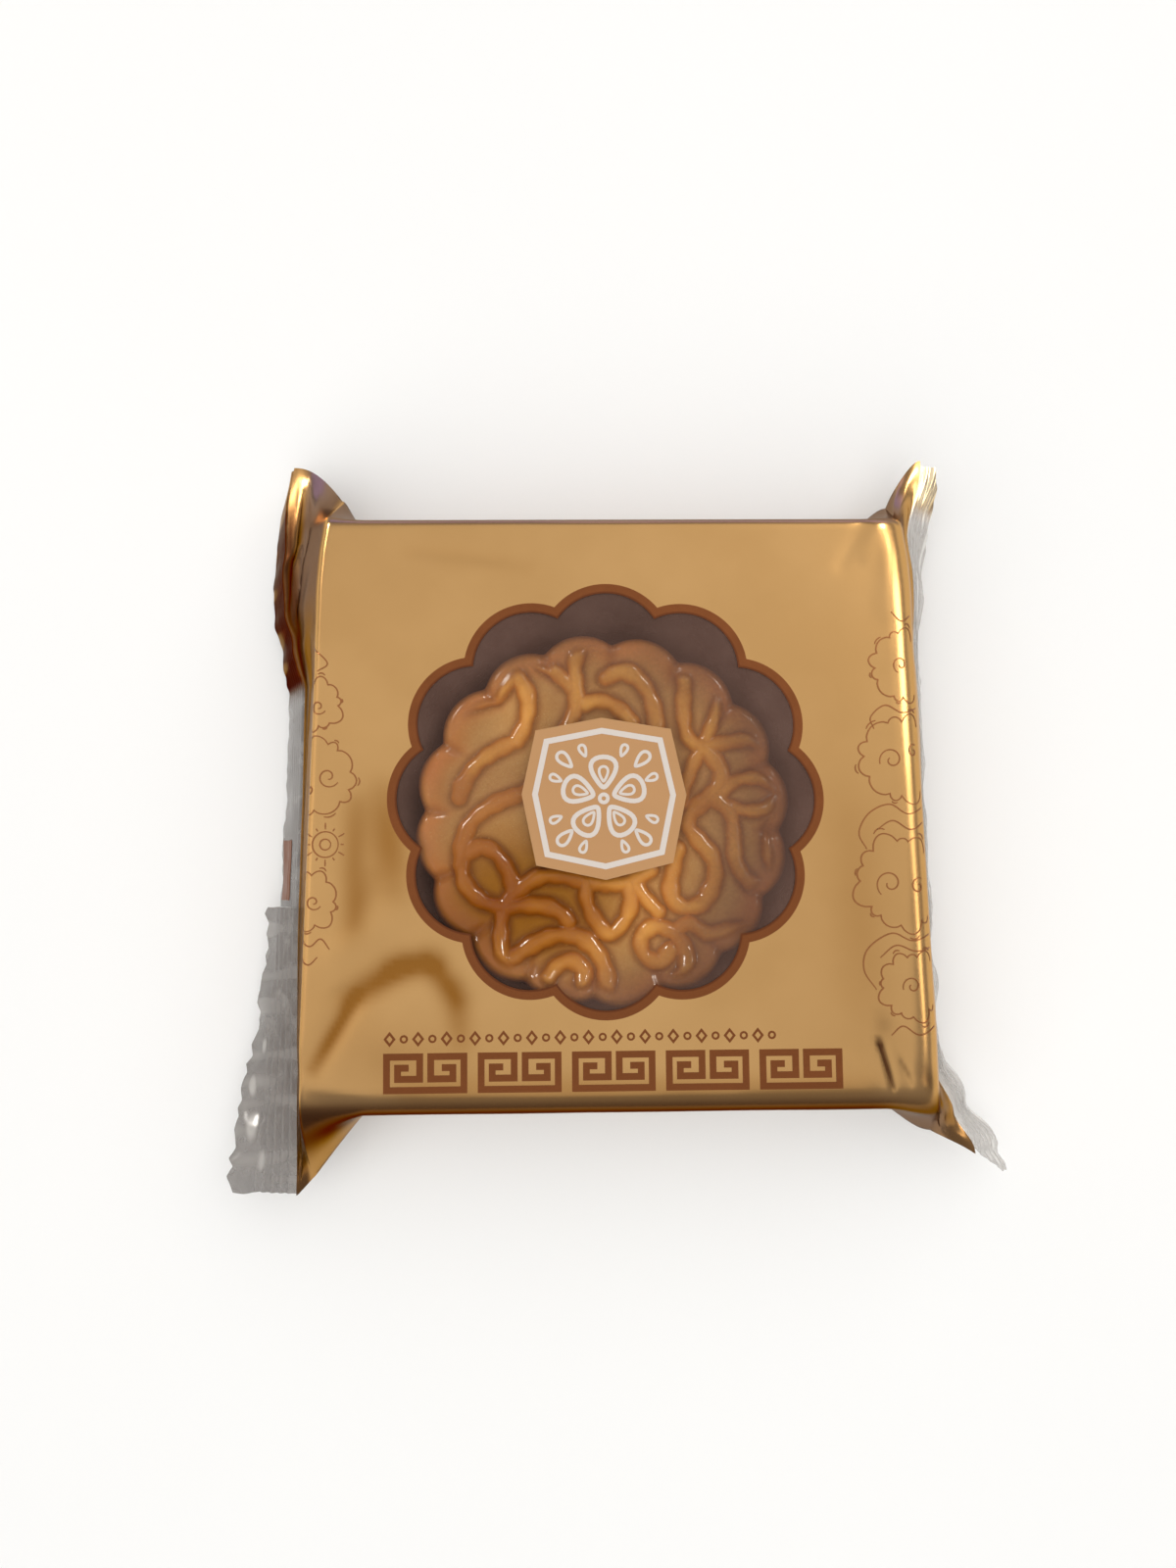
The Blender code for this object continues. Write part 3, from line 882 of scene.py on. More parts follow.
    def end_edge(self, y: np.ndarray) -> np.ndarray:
        """Half the body's length at this y."""
        tuck = 0.45 * smooth_step(34.5, 39.5, y) - 0.25 * smooth_step(36.0, 30.0, np.abs(y))
        return self.half_length - self.flare * y / (self.depth / 2) - tuck

    def section(self) -> np.ndarray:
        """The tube's (y, z) section from the middle of the back side over the top."""
        half = self.depth / 2
        corners = [
            (half, self.height, self.back_radius, 0, 6),
            (-half, self.height, self.front_radius, 90, 9),
            (-half, 0.0, self.base_radius, 180, 4),
            (half, 0.0, self.base_radius, 270, 4),
        ]
        arcs = []
        for y, z, radius, start, steps in corners:
            cy = y - math.copysign(radius, y)
            cz = z + (radius if z < self.height / 2 else -radius)
            turn = np.radians(np.linspace(start, start + 90, steps + 1))
            arcs.append(np.stack([cy + radius * np.cos(turn), cz + radius * np.sin(turn)], axis=1))
        back, front = np.array([[half, self.height / 2]]), np.array([[-half, self.height / 2]])

        def run(a: np.ndarray, b: np.ndarray, steps: int) -> np.ndarray:
            """The places between two points, without them."""
            t = np.linspace(0, 1, steps + 1)[1:-1, None]
            return a + (b - a) * t

        top_back, top_front, base_front, base_back = arcs
        return np.vstack([
            back, run(back[0], top_back[0], 11), top_back,
            run(top_back[-1], top_front[0], 104), top_front,
            run(top_front[-1], front[0], 10), front,
            run(front[0], base_front[0], 9), base_front,
            run(base_front[-1], base_back[0], 54), base_back,
            run(base_back[-1], back[0], 9),
        ])

    def stations(self, side: Side) -> np.ndarray:
        """Stations from the straight body out to the seal line.

        Args:
            side: Which end; its rounding differs.

        Returns:
            Rows of (offset beyond the end edge, share of the reach, collapse
            towards the seal level).
        """
        rounding = self.left_round if side is Side.LEFT else self.right_round
        corner = rounding / 12.0
        rows = [(-inset, 0.0, 0.0) for inset in np.linspace(self.straight, rounding, 19)[:-1]]
        for t in np.linspace(0, 1, 11):
            rows.append((-rounding * (1 - t) ** 2, corner * t * t, corner * t * t))
        for fall in np.linspace(corner, 1, 19)[1:]:
            way = (fall - corner) / (1 - corner)
            rows.append((0.25 * math.sin(math.pi * way), fall, corner + (1 - corner) * (1 - (1 - way) ** 1.4)))
        return np.array(rows)

    def spread(self, side: Side, station: np.ndarray, y0: np.ndarray) -> np.ndarray:
        """How far each point of a ring has opened into its ear.

        Args:
            side: Which end.
            station: One row of stations().
            y0: Places across the section.

        Returns:
            The share of the fold at each point.
        """
        offset, share, _ = station
        rounding = self.left_round if side is Side.LEFT else self.right_round
        inset = max(-offset, 0.0)
        way = max(share - rounding / self.height * 2, 0.0) / (1 - rounding / self.height * 2)
        if side is Side.LEFT:
            back, front = self.back_left, self.front_left
        else:
            back, front = self.back_right, self.front_right
        return np.where(y0 > 0, back.spread(inset, way), front.spread(inset, way))

    def top_lift(self, x: np.ndarray, y: np.ndarray) -> np.ndarray:
        """Dents and swells of the top film."""
        total = 0.05 * ripple(x, y, 34.0, 2.0) + 0.012 * ripple(x, y, 9.0, 5.0)
        for dent in self.dents:
            total = total + dent.lift(x, y)
        return total

    def end_ring(self, side: Side, section: np.ndarray, station: np.ndarray) -> np.ndarray:
        """One ring of the tube near an end.

        Args:
            side: Which end.
            section: The tube's section.
            station: One row of stations().

        Returns:
            An (n, 3) array of places.
        """
        offset, share, collapse = station
        y0, z0 = section[:, 0], section[:, 1]
        spread = self.spread(side, station, y0)
        flat = y0 + np.sign(y0) * (self.height / 2 - np.abs(z0 - self.height / 2))
        y = y0 + (flat - y0) * spread
        x = self.end_edge(y) + offset + share * self.reach(side, y)
        upper = np.sign(np.round(z0 - self.height / 2, 3))
        level = self.seal_level + upper * 0.09
        z = z0 + (level - z0) * collapse
        depth_of = collapse * 12.0
        folds = self.left_folds if side is Side.LEFT else self.right_folds
        shift = np.zeros(len(y0))
        for one in folds:
            shift = shift + one.lift(y, np.full_like(y, depth_of))
        strength = smooth_step(0.03, 0.25, np.full_like(y, collapse)) * (upper > 0)
        x = x + 0.55 * shift * strength
        z = z + 0.75 * shift * strength
        return np.stack([side.value * x, y, z], axis=1)

    def wrap(self, s: np.ndarray, y: np.ndarray, proud: float) -> np.ndarray:
        """Lays flat print on the top film and over its end edges.

        Args:
            s: Distance along the film from its middle; negative is left.
            y: Place across the film.
            proud: How far the print stands above the film.

        Returns:
            An (n, 3) array of places.
        """
        out = np.zeros((len(s), 3))
        for side in Side:
            rows = self.stations(side)
            here = (s < 0) if side is Side.LEFT else (s >= 0)
            if not here.any():
                continue
            run, across = np.abs(s[here]), y[here]
            x = self.end_edge(across)[:, None] + rows[None, :, 0] + rows[None, :, 1] * self.reach(side, across)[:, None]
            z = np.broadcast_to(self.height + (self.seal_level + 0.09 - self.height) * rows[None, :, 2], x.shape)
            length = np.concatenate(
                [x[:, :1], x[:, :1] + np.cumsum(np.hypot(np.diff(x, axis=1), np.diff(z, axis=1)), axis=1)], axis=1
            )
            k = np.clip((length < run[:, None]).sum(axis=1) - 1, 0, len(rows) - 2)
            pick = np.arange(len(run))
            t = (run - length[pick, k]) / (length[pick, k + 1] - length[pick, k])
            dx, dz = x[pick, k + 1] - x[pick, k], z[pick, k + 1] - z[pick, k]
            size = np.hypot(dx, dz)
            flat = run < x[:, 0]
            px = np.where(flat, run, x[pick, k] + dx * t)
            pz = np.where(flat, self.height, z[pick, k] + dz * t)
            nx, nz = np.where(flat, 0.0, -dz / size), np.where(flat, 1.0, dx / size)
            px, pz = px + nx * proud, pz + nz * proud
            lift = self.top_lift(side.value * px, across) * self.calm(side.value * px, across)
            out[here] = np.stack([side.value * px, across, pz + lift * (pz > self.height - 4)], axis=1)
        return out

    def calm(self, x: np.ndarray, y: np.ndarray) -> np.ndarray:
        """Share of the dents that shows: all on the top face, none past its edges."""
        over = np.abs(x) - self.end_edge(y)
        return (1 - smooth_step(-0.6, 0.4, over)) * smooth_step(-39.9, -38.2, y) * (1 - smooth_step(38.6, 39.7, y))


# ---------------------------------------------------------------- the wrapper


@dataclass
class FilmWrapper:
    """The gold film tube, with the window cut out of its top."""

    shape: FilmShape
    thickness: float = 0.08
    middle_rings: int = 101
    window_centre: Point = (-1.62, 1.36)
    window_lobes: int = 12
    lobe_out: float = 20.08
    clear_radius: float = 7.8
    turn: float = -0.5

    def window_outline(self, radius: float, count: int) -> np.ndarray:
        """The lobed outline, with its cusps on vertices."""
        angle = np.linspace(0, 2 * math.pi, count, endpoint=False) + math.radians(75 + self.turn)
        reach = lobed_radius(angle, self.window_lobes, self.lobe_out, radius, math.radians(75 + self.turn))
        cx, cy = self.window_centre
        return np.stack([cx + reach * np.cos(angle), cy + reach * np.sin(angle)], axis=1)

    def build(self) -> bpy.types.Object:
        """Models the film skin and cuts its window."""
        shape, section = self.shape, self.shape.section()
        rings = [shape.end_ring(Side.LEFT, section, row) for row in shape.stations(Side.LEFT)[::-1]]
        rights = [shape.end_ring(Side.RIGHT, section, row) for row in shape.stations(Side.RIGHT)]
        first, last = rings[-1], rights[0]
        for t in np.linspace(0, 1, self.middle_rings)[1:-1]:
            rings.append(first * (1 - t) + last * t)
        where = np.stack(rings + rights)
        tube, ring, turn = ringed_tube("film_wrapper", len(section), len(where))
        skin = where[ring, turn]
        skin = self.relieve(skin, section[turn])
        place(tube, skin * MM)
        self.cut_window(tube)
        apply_modifier(tube, "SOLIDIFY", thickness=self.thickness * MM, offset=-1.0)
        at = spots(tube) / MM
        # Painted shade in the top's pressed hollows.
        mark(tube, "hollow_shade", self.hollow_shades(at[:, 0], at[:, 1]) * (at[:, 2] > 20))
        # Painted shade on the front, the ends and the ears.
        mark(tube, "shade_tone", self.shade_tone(at))
        # Painted reflection of the cool surroundings.
        mark(tube, "cool_reflection", self.cool_reflection(at))
        # Painted shade in the folds, slits and under the front edge.
        mark(tube, "crease", self.crease_shades(at))
        soften(tube, 50)
        return tube

    def relieve(self, skin: np.ndarray, origin: np.ndarray) -> np.ndarray:
        """Dents the top, swells the sides and lifts the underside onto its seam.

        Args:
            skin: Places on the smooth tube.
            origin: Each place's point of the section.

        Returns:
            The places after the change.
        """
        shape = self.shape
        x, y, z = skin.T
        y0, z0 = origin.T
        top = (z0 > shape.height - 4.2) & (np.abs(y0) < shape.depth / 2)
        z = z + np.where(top, shape.top_lift(x, y) * shape.calm(x, y), 0.0)
        inner = 1 - smooth_step(-4.0, 3.0, np.abs(x) - shape.end_edge(y))
        flank = np.clip(1 - np.abs(z0 - 12) / 9.5, 0, 1) ** 0.6 * (np.abs(y0) > shape.depth / 2 - 0.2)
        swell = 0.22 * ripple(x, z * 1.4, 17.0, 3.0)
        y = y + np.sign(y) * swell * flank * inner - shape.front_push * smooth_step(-32.0, -39.4, y0)
        under = (z0 < 0.01) * inner
        z = z + under * (0.32 + 0.10 * ripple(x, y, 15.0, 7.0))
        return np.stack([x, y, z], axis=1)

    def cut_window(self, tube: bpy.types.Object) -> None:
        """Opens the top skin under the printed ring and trims the opening to its lobes."""
        x, y, z = (spots(tube) / MM).T
        dx, dy = x - self.window_centre[0], y - self.window_centre[1]
        angle = np.arctan2(dy, dx)
        edge = lobed_radius(angle, self.window_lobes, self.lobe_out, self.clear_radius + 0.55, math.radians(75 + self.turn))
        far = np.hypot(dx, dy)
        inside = (far < edge) & (z > self.shape.height - 2.5)
        corners = np.zeros(len(tube.data.polygons) * 4, int)
        tube.data.polygons.foreach_get("vertices", corners)
        opened = inside[corners.reshape(-1, 4)].all(axis=1)
        lip = np.zeros(len(x), bool)
        lip[corners.reshape(-1, 4)[opened].reshape(-1)] = True
        kept = np.zeros(len(x), bool)
        kept[corners.reshape(-1, 4)[~opened].reshape(-1)] = True
        lip &= kept
        where = spots(tube)
        where[lip, 0] = (self.window_centre[0] + dx[lip] / far[lip] * edge[lip]) * MM
        where[lip, 1] = (self.window_centre[1] + dy[lip] / far[lip] * edge[lip]) * MM
        place(tube, where)
        with editing(tube, opened, Kind.FACE):
            bpy.ops.mesh.delete(type="FACE")

    def shade_tone(self, at: np.ndarray) -> np.ndarray:
        """Painted shade: how far the film is turned a dull brown at each place: its shaded front, left panel and left
        ears, its right end, more at the front right, and a little along its back edge; the back left ear's tip is left
        brighter as a painted highlight.
        """
        x, y, z = at.T
        over = np.abs(x) - self.shape.end_edge(y)
        high = smooth_step(14.0, 19.0, z)
        front = smooth_step(-37.5, -39.2, y) * (0.35 + 0.60 * high) * (1 - 0.5 * smooth_step(33.0, 40.5, x) * (over < 0.5))
        back = smooth_step(38.9, 39.6, y) * 0.12
        left = smooth_step(0.15, 0.7, over) * (x < 0) * (0.40 + 0.25 * smooth_step(6.0, 12.0, z))
        left = left + 0.18 * smooth_step(-39.0, -41.0, y) * (x < 0) - 0.55 * smooth_step(44.5, 48.0, y) * (x < 0)
        right = smooth_step(1.6, 3.4, over) * (x > 0) * (0.18 + 0.42 * smooth_step(-41.0, -43.5, y))
        return np.clip(np.maximum.reduce([front, back, left, right]), 0, 1)

    def cool_reflection(self, at: np.ndarray) -> np.ndarray:
        """Painted reflection: where the film's colour is turned violet-grey as a mirror of its cool surroundings: the
        backs of the ears, the front right gusset and a band along the back edge.
        """
        x, y, z = at.T
        over = np.abs(x) - self.shape.end_edge(y)
        back_left = 0.85 * (x < 0) * smooth_step(0.2, 0.8, over) * (1 - smooth_step(4.8, 6.0, over)) * smooth_step(22, 32, y)
        ear = 0.85 * (x > 0) * smooth_step(40.2, 41.4, y) * (1 - smooth_step(2.6, 4.6, over))
        gusset = 0.9 * (x > 0) * smooth_step(-40.6, -41.6, y) * (1 - smooth_step(1.5, 5.5, over))
        band = 0.85 * smooth_step(38.8, 39.4, y) * (over < 0)
        return np.clip(np.maximum.reduce([back_left, ear, gusset, band]), 0, 1)

    def crease_shades(self, at: np.ndarray) -> np.ndarray:
        """Painted shade: dark pinches in the left gusset, dark slits in the front right corner and shade under the
        front edge.
        """
        x, y, z = at.T
        over = -x - self.shape.end_edge(y)
        pinches = (
            Fold((44.5, 7.7), (36.5, 7.9), 0.8, 0.95),
            Fold((36.8, 7.2), (29.0, 6.0), 1.5, 1.2),
            Fold((42.0, 5.6), (37.5, 6.4), 0.9, 0.55),
            Fold((30.0, 5.8), (21.0, 4.0), 1.3, 1.1),
            Fold((22.0, 3.8), (15.0, 3.2), 0.9, 0.7),
            Fold((15.0, 3.0), (2.0, 2.8), 0.7, 0.4),
        )
        dark = sum(one.lift(y, over) for one in pinches) * (over > 0.5) * (z > 9)
        slits = (
            Fold((34.2, -31.0), (35.8, -37.0), 0.36, 1.15),
            Fold((34.1, -30.8), (34.3, -31.8), 0.55, 0.5),
            Fold((37.0, -33.6), (38.2, -35.8), 0.28, 0.5),
            Fold((40.3, -35.0), (40.9, -37.0), 0.9, 0.65),
            Fold((34.7, -27.8), (34.9, -29.8), 1.2, 0.25),
        )
        dark = dark + sum(one.lift(x, y) for one in slits) * (z > 20)
        front = 0.65 * smooth_step(-38.6, -40.2, y) * smooth_step(17.0, 20.0, z) * (over < 1)
        return np.clip(dark + front, 0, 0.92)

    def hollow_shades(self, x: np.ndarray, y: np.ndarray) -> np.ndarray:
        """Painted shade: a deeper, darker gold where the top is pressed in."""
        folds = (
            Fold((-31.0, 1.5), (-30.0, -9.5), 2.7, 0.80),
            Fold((-35.0, 0.5), (-35.2, -14.5), 1.7, 0.62),
            Fold((-33.0, -9.0), (-35.4, -16.5), 1.6, 0.30),
            Fold((-40.2, -33.6), (-34.8, -24.4), 1.0, 1.0),
            Fold((-35.6, -24.6), (-28.6, -20.6), 1.8, 1.0),
            Fold((-30.0, -20.6), (-24.2, -20.0), 1.7, 0.85),
            Fold((-25.2, -19.8), (-21.6, -24.6), 1.7, 0.80),
            Fold((-21.8, -23.6), (-21.0, -30.0), 1.8, 0.60),
            Fold((-28.0, -36.8), (32.0, -37.0), 1.9, 0.42),
            Fold((31.5, -2.0), (32.5, -25.0), 3.6, 0.22),
            Fold((28.0, 14.0), (29.0, -28.0), 9.0, 0.12),
            Fold((-36.0, -30.0), (-22.0, -34.0), 4.0, 0.22),
            Fold((-28.0, 35.0), (-12.0, 33.0), 1.2, 0.14),
        )
        return np.clip(sum(one.lift(x, y) for one in folds), 0, 1)

    def dress(self, tube: bpy.types.Object) -> None:
        """Gives the film its foil."""
        dress(tube, GoldFoil().material(), Slot.GOLD, "wrapper")


@dataclass
class WindowPane:
    """The clear, unprinted film in the window."""

    shape: FilmShape
    wrapper: FilmWrapper
    tuck: float = 0.9
    drop: float = 0.12
    thickness: float = 0.05
    around: int = 288
    rings: int = 64

    def build(self) -> bpy.types.Object:
        """Models the pane as a lobed disc that follows the top film."""
        pane, ring, turn = ringed_tube("window_pane", self.around, self.rings)
        outline = self.wrapper.window_outline(self.wrapper.clear_radius + self.tuck, self.around)
        centre = np.array(self.wrapper.window_centre)
        share = (1 - ring / (self.rings - 1))[:, None]
        flat = centre + (outline[turn] - centre) * share
        x, y = flat.T
        z = self.shape.height - self.drop + self.shape.top_lift(x, y) + self.sag(x, y)
        place(pane, np.column_stack([flat, z]) * MM)
        merge_close(pane)
        apply_modifier(pane, "SOLIDIFY", thickness=self.thickness * MM, offset=-1.0)
        x, y, _ = (spots(pane) / MM).T
        mark(pane, "haze", self.haze(x, y))
        soften(pane, 60)
        return pane

    def sag(self, x: np.ndarray, y: np.ndarray) -> np.ndarray:
        """The film hangs a little between the window's rim and the cake."""
        far = np.hypot(x - self.wrapper.window_centre[0], y - self.wrapper.window_centre[1])
        return -0.55 * (1 - smooth_step(4.0, 27.0, far)) - 0.05 * ripple(x, y, 11.0, 1.0)

    def haze(self, x: np.ndarray, y: np.ndarray) -> np.ndarray:
        """The film's opacity: nearly clear where it clings to the cake, misty elsewhere."""
        clinging = np.exp(-(((x + 10.0) / 17.5) ** 2 + ((y + 12.5) / 10.5) ** 2) ** 2)
        outward = smooth_step(15.0, 29.0, np.hypot(x + 9.0, y + 1.0))
        gap = smooth_step(24.0, 27.2, np.hypot(x + 2.0, y + 1.3))
        misty = 0.16 + 0.17 * outward + (0.14 + 0.10 * smooth_step(6.0, 15.0, np.abs(x))) * gap + 0.04 * ripple(x, y, 13.0, 4.0)
        return np.clip(misty * (1 - 0.93 * clinging), 0.01, 0.6)

    def dress(self, pane: bpy.types.Object) -> None:
        """Gives the pane its clear film, which lets the light through to the cake."""
        dress(pane, ClearFilm().material(), Slot.CLEAR, "window")
        pane.visible_shadow = False


# ------------------------------------------------------------------- printing


@dataclass
class Printer:
    """Makes thin printed pieces that lie on the film."""

    shape: FilmShape
    proud: float = 0.03
    thickness: float = 0.02

    def lay(self, piece: bpy.types.Object, lift: Optional[Callable] = None) -> bpy.types.Object:
        """Lays a flat piece on the film and gives it thickness.

        Args:
            piece: A flat mesh whose x and y are millimetres on the film.
            lift: How far to lower or raise it, from its x and y; the film's own
                surface is used where it is None.

        Returns:
            The same piece.
        """
        x, y, _ = spots(piece).T
        if lift is None:
            where = self.shape.wrap(x, y, self.proud)
        else:
            where = np.stack([x, y, lift(x, y) + self.proud], axis=1)
        place(piece, where * MM)
        apply_modifier(piece, "SOLIDIFY", thickness=self.thickness * MM, offset=1.0)
        if "rim" not in piece.data.attributes:
            mark(piece, "rim", np.zeros(len(piece.data.vertices)))
        return piece

    @staticmethod
    def strip(line: Line, width: np.ndarray, closed: bool = False) -> bpy.types.Object:
        """A flat strip along a line, with mitred corners.

        Args:
            line: The strip's middle line, in millimetres.
            width: Its width at each point of the line.
            closed: Whether the end joins the start.

        Returns:
            The strip as a flat mesh.
        """
        count = len(line)
        ahead = np.roll(line, -1, axis=0) - line
        behind = line - np.roll(line, 1, axis=0)
        if not closed:
            ahead[-1], behind[0] = behind[-1], ahead[0]
        ahead = ahead / np.maximum(np.hypot(*ahead.T), 1e-9)[:, None]
        behind = behind / np.maximum(np.hypot(*behind.T), 1e-9)[:, None]
        across = np.stack([-(ahead + behind)[:, 1], (ahead + behind)[:, 0]], axis=1)
        across /= np.maximum(np.hypot(*across.T), 1e-9)[:, None]
        slant = np.maximum(np.abs(across[:, 0] * -ahead[:, 1] + across[:, 1] * ahead[:, 0]), 0.45)
        reach = (across / slant[:, None]) * (np.broadcast_to(width, count) / 2)[:, None]
        sheet, column, row = grid_sheet("strip", count + (1 if closed else 0), 2)
        column = column % count
        flat = np.where((row == 1)[:, None], line[column] + reach[column], line[column] - reach[column])
        place(sheet, np.column_stack([flat, np.zeros(len(flat))]))
        if closed:
            merge_close(sheet, 1e-5)
        return sheet


@dataclass
class WindowRing:
    """The printed ring round the window, with its thin dark inner line."""

    printer: Printer
    wrapper: FilmWrapper
    outer_radius: float = 9.1
    inner_radius: float = 7.82
    dark_line: float = 0.22
    per_lobe: int = 32

    def build(self) -> bpy.types.Object:
        """Models the ring as five loops from its inner to its outer edge."""
        around = self.wrapper.window_lobes * self.per_lobe
        width = self.outer_radius - self.inner_radius
        edges = [0.0, self.dark_line, self.dark_line + 0.06, width * 0.6, width]
        loops = np.stack([self.wrapper.window_outline(self.inner_radius + edge, around) for edge in edges])
        ring_piece, ring, turn = ringed_tube("window_ring", around, len(edges))
        flat = loops[::-1][ring, turn]
        place(ring_piece, np.column_stack([flat, np.zeros(len(flat))]))
        mark(ring_piece, "rim", (ring >= len(edges) - 2) * 0.75)
        return self.printer.lay(ring_piece)


@dataclass
class KeyBand:
    """The band under the window: a key-pattern row with a fine dotted row above it."""

    printer: Printer
    left: float = -31.1
    right: float = 29.2
    low: float = -37.0
    high: float = -31.8
    pairs: int = 5
    stroke: float = 0.88
    small_left: float = -31.2
    small_right: float = 20.7
    small_middle: float = -29.95
    small_height: float = 1.5

    def key_line(self, left: float, step: float) -> Line:
        """Two squared curls that face each other and share one base line."""
        path = [
            (2, 2), (1, 2), (1, 1), (3, 1), (3, 3), (0, 3), (0, 0), (7, 0), (7, 3), (4, 3), (4, 1), (6, 1), (6, 2), (5, 2),
        ]
        rise = (self.high - self.low - self.stroke) / 3
        base = self.low + self.stroke / 2
        return np.array([(left + self.stroke / 2 + column * step, base + level * rise) for column, level in path])

    def build(self) -> bpy.types.Object:
        """Models both rows and joins them."""
        parts = []
        step = (self.high - self.low - self.stroke) / 3
        width = 7 * step + self.stroke
        gap = (self.right - self.left - self.pairs * width) / (self.pairs - 1)
        for k in range(self.pairs):
            parts.append(Printer.strip(self.dense(self.key_line(self.left + k * (width + gap), step)), np.array(self.stroke)))
        pitch = 1.86
        count = round((self.small_right - self.small_left) / pitch)
        for k in range(count):
            centre = (self.small_left + (k + 0.5) * pitch, self.small_middle)
            half = self.small_height / 2
            if k % 2:
                ring = spiral(centre, half * 0.55, half * 0.55, 0, 330, 0.2)
                parts.append(Printer.strip(ring, np.array(0.26), closed=True))
            else:
                diamond = np.array([(0, -half), (half * 0.8, 0), (0, half), (-half * 0.8, 0)]) + np.array(centre)
                parts.append(Printer.strip(diamond, np.array(0.30), closed=True))
        return self.printer.lay(join(parts, "key_band"))

    @staticmethod
    def dense(corners: Line) -> Line:
        """Adds points between corners so that the strip can follow the film."""
        points = [corners[0]]
        for a, b in zip(corners, corners[1:]):
            steps = max(1, math.ceil(float(np.hypot(*(b - a))) / 1.0))
            points.extend(a + (b - a) * i / steps for i in range(1, steps + 1))
        return np.array(points)


